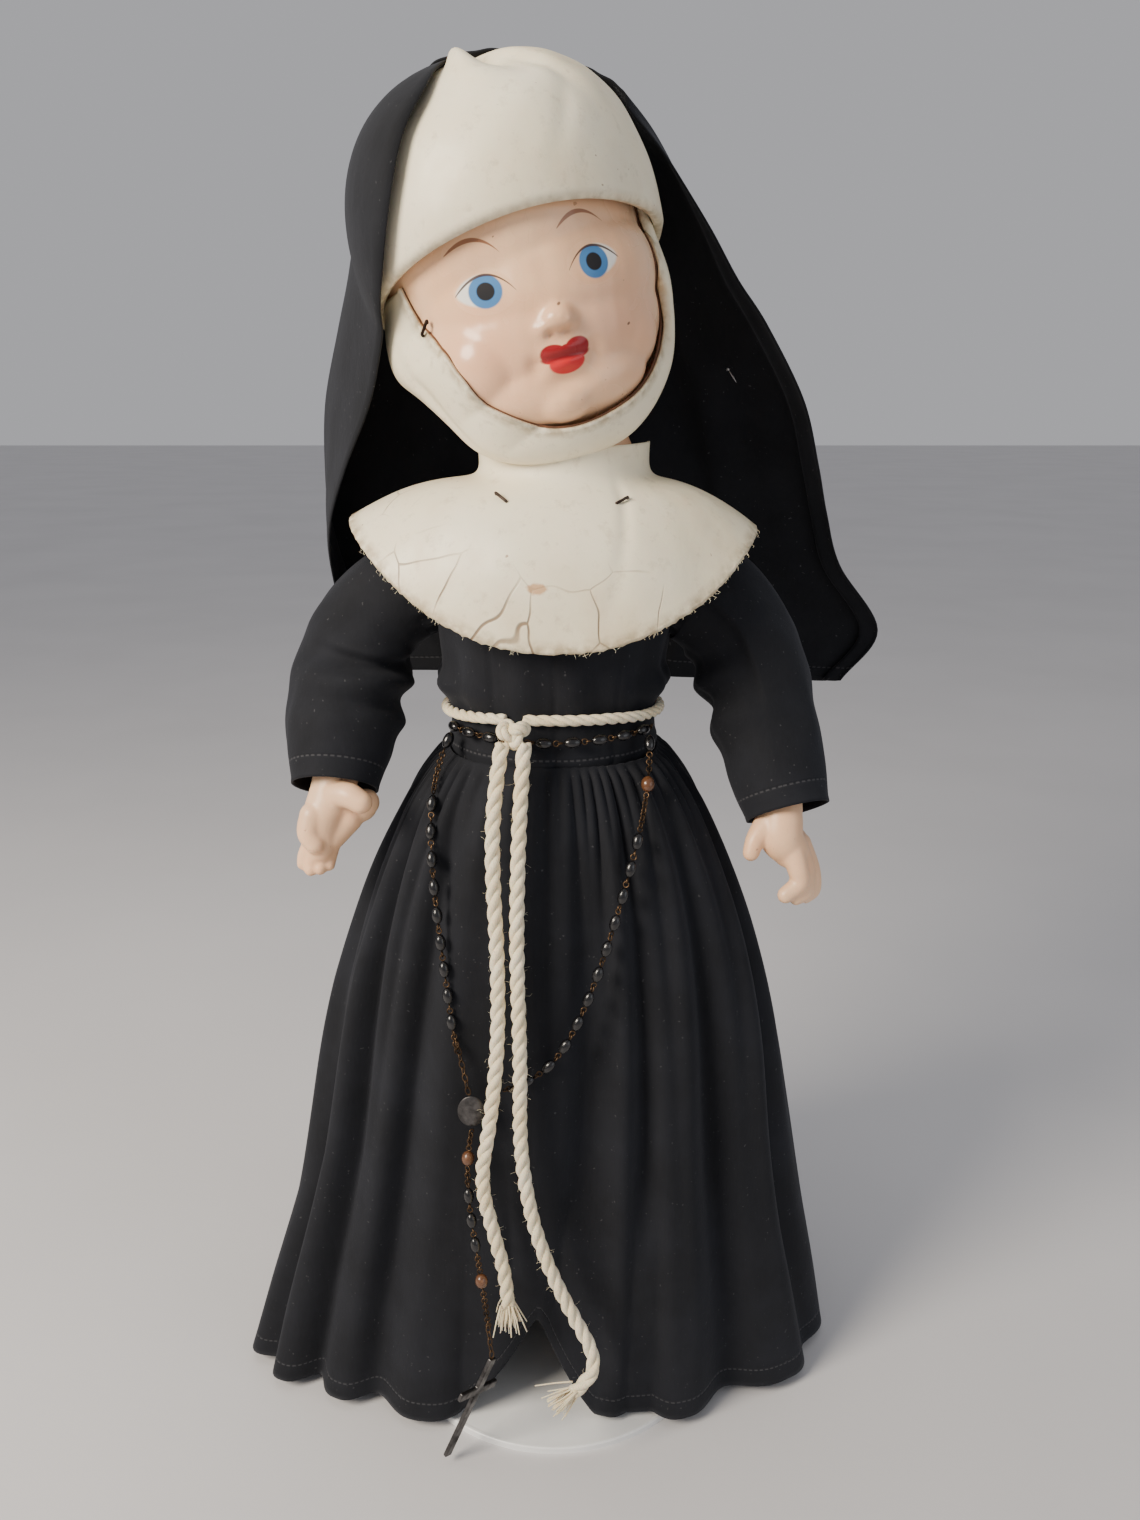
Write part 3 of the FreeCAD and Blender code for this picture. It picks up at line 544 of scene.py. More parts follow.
class FacePaint(Finish):
    """Painted features, placed in head coordinates in millimetres: x to the doll's left and z up."""

    def __init__(self, name):
        super().__init__(name)
        self.head = head_matrix()
        self.front = self.fade(self.local(0, 0)[1], -8 * MM, -14 * MM)

    def local(self, x, z, spin=0.0, half_width=METRE, half_height=METRE):
        """Coordinates about a point of the face, in half widths and heights, or else in metres."""
        turned = self.head.to_3x3() @ Matrix.Rotation(-radians(spin), 3, "Y")
        place = self.head @ Vector((x * MM, 0, z * MM))
        mapping = self.add("ShaderNodeMapping", {
            "Vector": self.place(), "Location": place[:], "Rotation": turned.to_euler("XYZ")[:],
            "Scale": (half_width * MM, 1.0, half_height * MM),
        }, vector_type="TEXTURE")
        return self.split(mapping.outputs[0])

    def oval(self, x, z, half_width, half_height, spin=0.0, edge=0.06):
        """1 inside an oval."""
        across, _, up = self.local(x, z, spin, half_width, half_height)
        reach = self.maths("SQRT", self.plus(self.maths("POWER", self.maths("ABSOLUTE", across), 2.0),
                                              self.maths("POWER", self.maths("ABSOLUTE", up), 2.0)))
        inside = self.fade(reach, 1.0 + edge, 1.0 - edge)
        return self.times(inside, self.front)

    def arc(self, x, z, half_width, rise, thickness, spin=0.0, heavy=0.0, taper=1.0):
        """1 on a painted arc that rises in its middle. heavy leans its thickness to one end."""
        across, _, up = self.local(x, z, spin, half_width, rise)
        bow = self.minus(1.0, self.times(across, across))
        off = self.maths("ABSOLUTE", self.minus(up, bow))
        lean = self.plus(1.0, self.times(across, heavy))
        width = self.times(self.maths("POWER", self.most(bow, 0.0), taper), lean)
        width = self.times(width, thickness / rise)
        line = self.fade(self.minus(off, width), 0.12 / rise, -0.12 / rise)
        within = self.fade(self.maths("ABSOLUTE", across), 1.0, 0.97)
        return self.times(self.times(line, within), self.front)


EYES = (
    # x, z, spin of the lid line, side towards which the white shows
    (-21.0, 75.0, -9.0, -1),
    (20.0, 75.5, 2.0, 1),
)
MOUTH = (1.4, 46.2)


def skin_base(f):
    """Flesh paint over composition: uneven tone, fine craze and rubbed brown specks."""
    head = settings("doll_head")
    tone = f.noise(17, 4.0, 0.5)
    base = f.mix(f.fade(tone, 0.40, 0.70), tuple(head.skin_colour), (0.92, 0.64, 0.42))
    speck = f.fade(f.noise(310, 1.0), 0.785, 0.81)
    base = f.tint(base, speck, 0.6, (0.30, 0.14, 0.07))
    inputs = {"Vector": f.place(), "Scale": 150.0}
    cells = f.add("ShaderNodeTexVoronoi", inputs, feature="DISTANCE_TO_EDGE")
    craze = f.times(f.fade(cells.outputs["Distance"], 0.02, 0.0), f.fade(f.noise(9, 2.0), 0.5, 0.6))
    base = f.tint(base, craze, 0.10, (0.45, 0.24, 0.14))
    normal = f.bump(f.noise(55, 3.0), 0.5 * MM, 0.22)
    normal = f.bump(f.noise(700, 2.0), 0.04 * MM, 0.4, normal)
    return base, normal


def limb_skin(name):
    """Arms, legs and body: chipped at the edges and handled dark."""
    f = Finish(name)
    base, normal = skin_base(f)
    chip = f.fade(f.noise(120, 4.0, 0.65), 0.66, 0.70)
    base = f.tint(base, chip, 0.75, (0.36, 0.19, 0.11))
    grime = f.fade(f.noise(38, 4.0, 0.6), 0.50, 0.72)
    base = f.tint(base, grime, 0.35, (0.52, 0.33, 0.21))
    normal = f.bump(f.minus(1.0, chip), 0.3 * MM, 0.6, normal)
    return f.set(base=base, rough=0.42, normal=normal, coat=0.15, coat_rough=0.3,
                 scatter=0.06, scatter_size=0.003)


def face_skin(name):
    """The face: blushed cheeks, painted eyes, brows and lips, and painted shade under the nose."""
    head = settings("doll_head")
    f = FacePaint(name)
    base, normal = skin_base(f)
    painted = 0.0
    for x in (-26, 27):
        cheek = f.oval(x, 53, 17, 14, 0, 0.9)
        base = f.tint(base, cheek, 0.35, tuple(head.blush_colour))
    # Painted shade: a dark brown oval under the tip of the nose.
    under_nose_shade = f.times(f.oval(1, 56, 9, 4.2, 0, 0.8), 0.30)
    base = f.mix(under_nose_shade, base, (0.42, 0.24, 0.14))
    for x, z, spin, outer in EYES:
        shade = f.oval(x, z + 5, 14, 11, spin, 0.8)
        base = f.tint(base, shade, 0.16, (0.48, 0.27, 0.17))
        eye = f.times(f.oval(x, z - 1.2, 10.2, 7.3, spin), f.oval(x, z + 2.2, 10.6, 7.4, spin))
        outside = f.fade(f.local(x, z, spin)[0], 0.6 * outer * MM, 2.4 * outer * MM)
        base = f.mix(f.times(eye, outside), base, (0.80, 0.79, 0.74))
        painted = f.most(painted, f.oval(x, z, 10, 7.5, spin, 0.1))
        base = f.mix(f.oval(x, z, 5.8, 5.9, 0, 0.05), base, tuple(head.iris_colour))
        base = f.mix(f.oval(x, z, 3.1, 3.15, 0, 0.07), base, (0.006, 0.006, 0.009))
        lid = f.arc(x, z - 0.9, 10.6, 6.6, 0.46, spin, 0.35 * outer, 0.35)
        base = f.tint(base, lid, 0.92, (0.045, 0.018, 0.014))
        brow = f.arc(x - 1.4, z + 13.2, 9.8, 4.8, 0.75, spin * 0.8 - 4, -0.55, 0.7)
        base = f.tint(base, brow, 0.9, tuple(head.brow_colour))
    x, z = MOUTH
    upper = f.most(f.oval(x - 4.2, z + 1.4, 5.4, 3.6, -16), f.oval(x + 4.4, z + 1.9, 5.2, 3.9, 12))
    upper = f.most(upper, f.oval(x + 0.4, z + 1.2, 3.4, 3.0, 0))
    sides = f.oval(x, z + 0.4, 9.4, 2.7, 0)
    lower = f.oval(x, z - 2.1, 6.9, 4.1, 0)
    lips = f.most(f.most(upper, sides), lower)
    # Painted shade and light on the lips: the upper lip is a darker copy of the lip red and the lower lip
    # a brighter red.
    red = f.mix(lower, tuple(c * 0.62 for c in head.lip_colour), tuple(head.lip_colour))
    lit_lower_lip = f.fade(f.local(x, z)[2], -0.3 * MM, -1.6 * MM)
    red = f.mix(lit_lower_lip, tuple(c * 0.62 for c in head.lip_colour), (0.66, 0.018, 0.022))
    base = f.mix(lips, base, red)
    for x, z, size in ((2.6, 64.5, 0.8), (29.0, 51.5, 0.7), (-14, 92, 0.35)):
        base = f.mix(f.times(f.oval(x, z, size, size * 0.6, 30, 0.3), 0.85), base, (0.10, 0.05, 0.03))
    rough = f.plus(f.times(f.fade(f.noise(30, 3.0), 0.35, 0.7), 0.10), 0.22)
    rough = f.plus(rough, f.times(painted, 0.55))
    return f.set(base=base, rough=rough, normal=normal, coat=0.0, coat_rough=0.2,
                 scatter=0.08, scatter_size=0.003)


def cotton_cord(name):
    """Twisted cotton: fibres run along each strand, and the low lines of the fibre relief are painted
    darker.
    """
    f = Finish(name)
    base = tuple(settings("doll_belt").cord_colour)
    tone = f.mix(f.fade(f.noise(60, 4.0), 0.38, 0.70), base, (0.86, 0.78, 0.60))
    fibre = f.noise(2600, 3.0, 0.6, stretch=(1.0, 1.0, 0.25))
    # Darker colour where the fibre relief is low.
    tone = f.mix(f.times(f.fade(fibre, 0.52, 0.36), 0.45), tone, (0.46, 0.37, 0.24))
    normal = f.bump(fibre, 0.18 * MM, 0.75)
    return f.set(base=tone, rough=0.92, normal=normal, sheen=0.35, sheen_rough=0.6, specular=0.2,
                 scatter=0.1, scatter_size=0.002)


def lacquer(name, base, worn):
    """Lacquered wooden beads, rubbed through where they touch."""
    f = Finish(name)
    rub = f.fade(f.noise(300, 4.0, 0.65), 0.56, 0.70)
    tone = f.tint(base, rub, 0.7, worn)
    grain = f.noise(800, 3.0, 0.5, stretch=(1.0, 1.0, 0.2))
    normal = f.bump(grain, 0.08 * MM, 0.5)
    rough = f.plus(f.times(rub, 0.35), 0.24)
    return f.set(base=tone, rough=rough, normal=normal, coat=0.3, coat_rough=0.2)


def old_metal(name, base, dull, rough):
    """Plain metal with tarnish in patches and fine handling scratches."""
    f = Finish(name)
    patch = f.fade(f.noise(140, 4.0, 0.6), 0.42, 0.66)
    tone = f.mix(patch, base, dull)
    scratch = f.noise(1800, 2.0, 0.5, stretch=(1.0, 1.0, 0.08))
    normal = f.bump(scratch, 0.03 * MM, 0.5)
    return f.set(base=tone, metal=1.0, rough=f.plus(f.times(patch, 0.25), rough), normal=normal)


def plain(name, base, darker, scale, rough, depth, coat=0.0, coat_rough=0.03):
    """A plain non-metal finish with a mottled tone and a fine surface, its depth in millimetres."""
    f = Finish(name)
    tone = f.mix(f.fade(f.noise(scale, 4.0), 0.40, 0.70), base, darker)
    normal = f.bump(f.noise(scale * 12, 3.0), depth * MM, 0.5)
    return f.set(base=tone, rough=rough, normal=normal, coat=coat, coat_rough=coat_rough)


# Each material: what makes it, and what that is given after the name
MATERIALS = {
    "habit_cloth": (black_cotton, "habit_colour", 0.08),
    "veil_cloth": (black_cotton, "veil_colour", 0.10),
    "oilcloth": (oilcloth, False),
    "cape_oilcloth": (oilcloth, True),
    "face_skin": (face_skin,),
    "limb_skin": (limb_skin,),
    "cotton_cord": (cotton_cord,),
    "black_bead": (lacquer, (0.004, 0.004, 0.005), (0.018, 0.016, 0.018)),
    "brown_bead": (lacquer, (0.11, 0.045, 0.018), (0.20, 0.10, 0.05)),
    "bronze_wire": (old_metal, (0.13, 0.080, 0.045), (0.035, 0.024, 0.016), 0.38),
    "dull_metal": (old_metal, (0.12, 0.115, 0.115), (0.03, 0.028, 0.028), 0.34),
    "dark_wire": (old_metal, (0.09, 0.07, 0.06), (0.04, 0.025, 0.02), 0.5),
    "plated_steel": (old_metal, (0.62, 0.62, 0.63), (0.45, 0.44, 0.43), 0.18),
    "spring_wire": (old_metal, (0.45, 0.45, 0.46), (0.30, 0.29, 0.28), 0.30),
    "white_enamel": (plain, (0.84, 0.85, 0.85), (0.76, 0.77, 0.77), 35, 0.28, 0.02, 0.4, 0.15),
    "grip_vinyl": (plain, (0.74, 0.72, 0.66), (0.62, 0.58, 0.48), 90, 0.4, 0.03),
    "elastic_cord": (plain, (0.66, 0.62, 0.54), (0.45, 0.40, 0.33), 500, 0.85, 0.08),
    "dowel_wood": (plain, (0.55, 0.37, 0.20), (0.40, 0.25, 0.12), 160, 0.7, 0.06),
    "shoe_leather": (plain, (0.012, 0.012, 0.013), (0.03, 0.03, 0.032), 200, 0.3, 0.05, 0.3),
    # The dark line where the chin band meets the face: painted shade in the gap.
    "face_rim": (plain, (0.16, 0.065, 0.03), (0.09, 0.04, 0.02), 300, 0.8, 0.05),
}


# ---------------------------------------------------------------- the head's forms, in head millimetres
HEAD_FORMS = (
    ((0, 4, 90), (53, 57, 53)),
    ((2, -10, 57), (49, 45, 39)),
    ((-24, -27, 50), (20, 22, 20)),
    ((24, -25, 50), (21, 21, 20)),
    ((4, -10, 72), (49, 46, 36)),
    ((1, -33, 37), (35, 19, 17)),
    ((-1, -42, 31), (13, 11, 9)),
    ((1.5, -51.5, 60), (7.0, 8.5, 5.6)),
    ((-4.5, -49.5, 58), (3.8, 6.0, 3.6)),
    ((7.5, -49.5, 58), (3.8, 6.0, 3.6)),
    ((1, -47, 67), (4.6, 7.5, 9)),
    ((0, 0, 0), (30.8, 30.8, 30.8)),
)

# x, z, how far back the surface moves, and the reach of the dent or swell in x and z
FACE_DENTS = (
    (-21, 77, 2.6, 12, 8),
    (21, 77, 2.6, 12, 8),
    (-21, 75, -1.5, 7.5, 5.5),
    (21, 75, -1.5, 7.5, 5.5),
    (0, 78, 0.8, 6, 8),
    (-5.6, 57.5, -1.5, 3.0, 2.6),
    (5.6, 57.5, -1.5, 3.0, 2.6),
    (-3.0, 55.0, 1.6, 1.6, 1.2),
    (3.0, 55.0, 1.6, 1.6, 1.2),
    (1.2, 49.0, -2.0, 8.0, 2.6),
    (1.2, 43.6, -2.4, 6.6, 2.6),
    (1.2, 46.3, 1.0, 8.5, 0.9),
    (-10.5, 45.5, 1.6, 3.2, 4.0),
    (12.5, 45.5, 1.6, 3.2, 4.0),
    (0, 37.5, 1.8, 8.5, 3.2),
    (0, 100, -1.5, 24, 14),
)


def surface_y(x, z):
    """How far forward the head's surface is at x and z, in head millimetres."""
    best = -6.0
    for (cx, cy, cz), (rx, ry, rz) in HEAD_FORMS[:-1]:
        inside = 1 - ((x - cx) / rx) ** 2 - ((z - cz) / rz) ** 2
        if inside > 0:
            best = min(best, cy - ry * sqrt(inside))
    return best


def to_world(points):
    """Head millimetres to metres in the row frame."""
    matrix = np.array(head_matrix())
    points = np.asarray(points, dtype=float)
    placed = points.reshape(-1, 3) * MM @ matrix[:3, :3].T + matrix[:3, 3]
    return placed.reshape(points.shape)


NECK_RADIUS = 23 * MM
NECK_HEIGHTS = (8 * MM, 30 * MM, 50 * MM)
HEAD_VOXEL = 1.15 * MM
HEAD_SMOOTHING = 12


def make_head():
    forms = [ball([c * MM for c in centre], [r * MM for r in radii]) for centre, radii in HEAD_FORMS]
    points, faces = tube_points([(0, 0, z) for z in NECK_HEIGHTS], NECK_RADIUS, 40)
    forms.append(new_object("neck", points, faces))
    head = melted(joined("head_shell", forms), HEAD_VOXEL, HEAD_SMOOTHING)
    points = points_of(head) / MM
    front = 1 / (1 + np.exp((points[:, 1] + 18) / 4))
    for x, z, back, wide, high in FACE_DENTS:
        swell = np.exp(-(((points[:, 0] - x) / wide) ** 2) - ((points[:, 2] - z) / high) ** 2)
        points[:, 1] += back * swell * front
    set_points(head, to_world(points))
    wear(head, "face_skin", "head", ("head",))


# ---------------------------------------------------------------- cap, band and veil
def wavy(seed, *args, count=5):
    """Smooth repeatable waviness between -1 and 1 over any number of coordinates."""
    draw = np.random.default_rng(seed)
    total = 0.0
    weight = 0.0
    for k in range(count):
        phase = draw.uniform(0, 2 * pi)
        inside = phase
        for value in args:
            inside = inside + draw.uniform(-1, 1) * (k + 1) * value
        share = 1.0 / (k + 1)
        total = total + share * np.sin(inside)
        weight += share
    return total / weight


OILCLOTH = 1.2 * MM
CAP_MIDDLE = 3
CAP_DEPTH = 61.5
CAP_WIDTH = 57.5
CAP_LEFT_FULLNESS = 4.5
CAP_BRIM = 98.5
CAP_SLOPE = 0.29
CAP_TOP = 156


def make_cap():
    """The puffed cap: its edge slopes to the nape, and its crown is fuller on its left and pinched."""
    turns, rises = 168, 72
    t = np.linspace(0, 2 * pi, turns, endpoint=False)[None, :]
    s = np.linspace(0, 1, rises)[:, None]
    full = 0.5 + 0.5 * np.cos(t)
    rise = s * pi / 2
    edge_y = CAP_MIDDLE + CAP_DEPTH * np.sin(t)
    brim = CAP_BRIM - CAP_SLOPE * (edge_y + 56) + 1.6 * bell(np.cos(t) - 0.1, 0.6) * (np.sin(t) < 0)
    spread = np.clip(np.cos(rise), 0, 1) ** (1.0 - 0.45 * full)
    spread = spread * (1 + 0.02 * np.sin(pi * np.clip(s * 1.3, 0, 1)))
    x = (CAP_WIDTH + CAP_LEFT_FULLNESS * full) * spread * np.cos(t)
    y = CAP_MIDDLE + CAP_DEPTH * spread * np.sin(t)
    z = brim + (CAP_TOP - brim) * np.sin(rise)
    ridge_way = t - radians(256) - 0.55 * (0.85 - s)
    ridge = bell(ridge_way, 0.16) * bell(s - 0.80, 0.17)
    valley = bell(ridge_way - 0.42, 0.20) * bell(s - 0.74, 0.20)
    crease = bell(t - radians(318) + 0.5 * s, 0.10) * bell(s - 0.62, 0.2)
    low = bell(t - radians(292) - 0.9 * (s - 0.3), 0.07) * bell(s - 0.3, 0.16)
    out = 5.5 * ridge - 4.5 * valley - 2.2 * crease - 1.0 * low
    out = out + 1.3 * wavy(8, t * 4, s * 8) * np.sin(pi * s)
    x, y, z = x + out * np.cos(t) * 0.7, y + out * np.sin(t) * 0.7, z + out * s
    grid = np.stack([x, y, z], axis=2)[::-1]
    roll = []
    for turn in (0.35, 0.75, 1.0):
        inward = 2.6 * sin(turn * pi / 2) ** 2
        lower = 2.2 * sin(turn * pi)
        line = [x[0] - inward * np.cos(t[0]), y[0] - inward * np.sin(t[0]), z[0] - lower]
        roll.append(np.stack(line, axis=1))
    grid = np.concatenate([grid, np.array(roll)], axis=0)
    cap = cloth_piece("cap_cloth", to_world(grid), True, OILCLOTH)
    wear(cap, "oilcloth", "head", ("cap",))


# The chin band's front edge on the face, its outermost line and its back edge, from the right temple
BAND_FRONT = (
    (-47.5, -14, 84.5), (-45.5, -20, 76), (-41.0, -29, 62.4), (-37.0, -36, 48.6), (-31.6, -41, 37.9),
    (-20, -47, 28.1), (-7.3, -51.5, 21.8), (7.5, -52.5, 21.1), (25.5, -48, 25.5), (38, -41, 33.8),
    (46.5, -32, 44.8), (50, -26, 55.1), (50.8, -23, 69.6), (50.8, -21, 82), (50, -18, 95),
)
BAND_OUTER = (
    (-53, 0, 82), (-56.5, -3.4, 66), (-56.3, -8, 54.6), (-50.5, -16, 44.5), (-43.5, -22, 32),
    (-35.5, -27, 20), (-24, -31, 12.6), (-6, -35, 9.2), (16, -36, 10.0), (32, -33, 17),
    (45, -28, 30), (53, -22, 45), (57, -16, 60), (57.5, -12, 74), (55, -10, 92),
)
BAND_BACK = (
    (-51, 18, 84), (-54, 16, 66), (-52, 12, 53), (-45, 5, 43), (-36, -2, 33),
    (-28, -8, 24), (-22, -12, 18), (-12, -16, 14.5), (8, -18, 13.5), (22, -14, 18),
    (35, -7, 29), (46, 2, 43), (53, 8, 60), (55, 13, 74), (53, 14, 90),
)


def band_edge(count):
    """The line where the face meets the band, kept just clear of the face."""
    line = smooth_line(BAND_FRONT, count)
    for point in line:
        point[1] = min(max(surface_y(point[0], point[2]) - 1.0, point[1] - 8), point[1] + 6)
    return line


def make_chin_band():
    """The band under the chin: tight at the doll's left, loose at its right, with a rolled front edge,
    and a thin line of painted shade where it meets the face.
    """
    turns, widths = 150, 30
    front, outer, back = band_edge(turns), smooth_line(BAND_OUTER, turns), smooth_line(BAND_BACK, turns)
    along = np.linspace(0, 1, turns)[:, None]
    rows = []
    for s in np.linspace(0, 1, widths):
        line = front * (1 - s) * (1 - 2 * s) + outer * 4 * s * (1 - s) + back * s * (2 * s - 1)
        away = line - np.array([0, 10, 62.0])
        away /= np.linalg.norm(away, axis=1)[:, None]
        loose = bell(along - 0.24, 0.12)
        lip = 0.9 * bell(s, 0.06)
        wave = 0.7 * wavy(61, along * 16, s * 6) * sin(pi * s) ** 0.5
        crease = 1.8 * loose * bell(s - 0.42 - 0.5 * (along - 0.24), 0.07)
        rows.append(line + away * (lip + wave - crease))
    grid = np.array(rows)[::-1]
    band = cloth_piece("chin_band_cloth", to_world(grid), False, OILCLOTH, 0.0)
    wear(band, "oilcloth", "head", ("chin_band",))
    # A thin dark brown line along the face's edge: painted shade in the gap between the band and the
    # face.
    seam = band_edge(150) + np.array([0, 0.5, 0])
    line = tubes_piece("face_edge_line", [(to_world(seam), 0.55 * MM)], 6)
    wear(line, "face_rim", "head")


VEIL_ROWS = (
    ((-52, 4, 588), (30, 4, 580), (-11, 5, 600)),
    ((-68, 6, 573), (43, 8, 567), (-12, 38, 592)),
    ((-80, 10, 557), (55, 12, 552), (-12, 61, 574)),
    ((-91, 16, 538), (67, 18, 536), (-10, 74, 549)),
    ((-98, 22, 519), (79, 24, 518), (-8, 80, 521)),
    ((-105, 27, 500), (93, 29, 500), (-5, 84, 498)),
    ((-114, 34, 469), (112, 38, 469), (-1, 88, 468)),
    ((-118, 48, 440), (123, 53, 440), (2, 93, 438)),
    ((-120, 70, 415), (133, 76, 415), (5, 99, 412)),
    ((-116, 82, 390), (143, 86, 389), (10, 105, 386)),
    ((-106, 88, 358), (166, 93, 355), (22, 110, 354)),
    ((-88, 94, 334), (150, 100, 327), (30, 113, 328)),
)
# Where the veil's front edge lies on the cap and hangs from it, at the doll's right, row by row
VEIL_EDGE = (
    (-37, -21, 589), (-41.5, -42, 574), (-48.5, -50, 557), (-54, -52, 537), (-59, -46, 518),
    (-64, -32, 500), (-74, -10, 470), (-90, 12, 441), (-103, 40, 415), (-108, 64, 390),
    (-104, 80, 358), (-88, 92, 334),
)


VEIL_CLOTH = 0.8 * MM
VEIL_CLEARANCE = 2.6


def off_cap(points):
    """Moves world points, in millimetres, out of the cap."""
    matrix = np.array(head_matrix())
    centre = np.array([0, CAP_MIDDLE, 92.0])
    local = (points - matrix[:3, 3] / MM) @ matrix[:3, :3] - centre
    wide = np.where(local[..., 0] > 0, CAP_WIDTH + CAP_LEFT_FULLNESS, CAP_WIDTH + 1) + VEIL_CLEARANCE
    deep = np.full(wide.shape, CAP_DEPTH + VEIL_CLEARANCE)
    high = np.full(wide.shape, 64.0 + VEIL_CLEARANCE)
    size = np.stack([wide, deep, high], axis=-1)
    power = np.where(local[..., 0] > 0, 2.6, 2.4)[..., None]
    reach = np.sum(np.abs(local / size) ** power, axis=-1, keepdims=True) ** (1 / power)
    inside = (reach < 1) & (local[..., 2:] > -24)
    local = np.where(inside, local / np.maximum(reach, 0.3), local)
    return (local + centre) @ matrix[:3, :3].T + matrix[:3, 3] / MM


def make_pin(grid):
    """The dressmaker's pin, in the cloth where the frame has it."""
    low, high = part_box("veil_pin")
    middle = (np.array(low) + np.array(high)) / 2 / MM
    row, column = np.unravel_index(np.argmin(np.linalg.norm(grid - middle, axis=2)), grid.shape[:2])
    at = grid[row, column] + np.array([0, -1.3, 0.4])
    way = grid[row + 4, column + 2] - grid[row, column]
    way /= np.linalg.norm(way)
    shaft = (np.array([at, at + way * 7.0]) * MM, 0.3 * MM)
    steps = (at - way * 0.9, at - way * 0.5, at + way * 0.3, at + way * 0.6)
    knob = (np.array(steps) * MM, np.array([0.3, 1.0, 1.0, 0.3]) * MM)
    pin = tubes_piece("veil_pin_wire", [shaft, knob], 10)
    wear(pin, "plated_steel", "head", ("veil_pin",))


def make_veil():
    """The veil over the cap, in one sheet that falls behind the shoulders in soft pleats."""
    rows, columns = 110, 150
    left, right, back = (smooth_line([row[i] for row in VEIL_ROWS], rows) for i in range(3))
    front = smooth_line(VEIL_EDGE, rows)
    grid = np.zeros((rows, columns, 3))
    for r in range(rows):
        fall = r / (rows - 1)
        middle, across = (left[r] + right[r]) / 2, (right[r] - left[r]) / 2
        depth = back[r] - middle
        depth = depth - across * depth.dot(across) / across.dot(across)
        t = np.linspace(0, pi, columns)
        rise = np.sin(t)[:, None] ** 0.9
        line = middle - across * np.cos(t)[:, None] + depth * rise
        outward = line - (middle + depth * 0.25)
        outward /= np.linalg.norm(outward, axis=1)[:, None]
        pleat = np.cos(11 * t + 1.3 * np.sin(3 * t + 0.7) + 0.9 * fall) * 0.6
        pleat = pleat + 0.4 * np.cos(19 * t + 2.0 + 2 * fall)
        deep = 0.5 + 6.0 * fall**0.9
        edge = bell(t, 0.16) + bell(pi - t, 0.16)
        line = line + outward * (deep * (pleat - 0.5) * (1 - edge))[:, None]
        line[:, 2] += 0.8 * wavy(5, t * 4, fall * 5)
        turn_in = np.clip(1 - t / 0.42, 0, 1) ** 1.6
        grid[r] = line + turn_in[:, None] * (front[r] - left[r])
    grid = off_cap(grid)
    veil = cloth_piece("veil_sheet", grid * MM, False, VEIL_CLOTH)
    make_pin(grid)
    wear(veil, "veil_cloth", "head", ("veil",))


# ---------------------------------------------------------------- dress
BODICE_LEVELS = (
    (316, 44.5, 41, 47, 0),
    (322, 44.5, 41, 47, 0),
    (341, 43.8, 38.5, 46.5, 0),
    (356, 46.5, 42, 44.5, 0),
    (375, 49.5, 45, 43, 1),
    (392, 51, 44.5, 41, 2),
    (408, 50, 41.5, 39.5, 3),
    (420, 44, 39, 38.5, 4.5),
    (429, 40.5, 39, 39, 5),
)
SKIRT_LEVELS = (
    (322, 45.5, 42, 48, 0),
    (314, 54, 46.5, 52, 0),
    (298, 66, 51, 57, 0),
    (270, 80, 55, 64, 0),
    (235, 93, 57, 72, 0),
    (190, 106, 59, 82, -1),
    (140, 118, 61, 92, -3),
    (90, 130, 63, 102, -5),
    (45, 141, 65, 110, -7),
    (4.5, 149, 67, 117, -9),
)


def ring_at(level, power, count):
    """A level outline, as points evenly spaced along it, from the back through the doll's right."""
    z, rx, y_front, y_back, cx = level
    t = pi / 2 + np.linspace(0, 2 * pi, 1441)
    c, s = np.cos(t), np.sin(t)
    x = cx + rx * np.abs(c) ** (2 / power) * np.sign(c)
    y = np.where(s >= 0, y_back, y_front) * np.abs(s) ** (2 / power) * np.sign(s)
    run = np.concatenate([[0], np.cumsum(np.hypot(np.diff(x), np.diff(y)))])
    at = np.linspace(0, run[-1], count, endpoint=False)
    return np.stack([np.interp(at, run, x), np.interp(at, run, y)], axis=1)


def outward_of(ring):
    way = np.roll(ring, -1, axis=0) - np.roll(ring, 1, axis=0)
    out = np.stack([way[:, 1], -way[:, 0]], axis=1)
    return out / np.linalg.norm(out, axis=1)[:, None]


# How many folds of each kind run round the skirt, and where its hem parts
FINE_FOLDS, BROAD_FOLDS, WIDE_FOLDS = 31, 17, 7
PARTING = -8


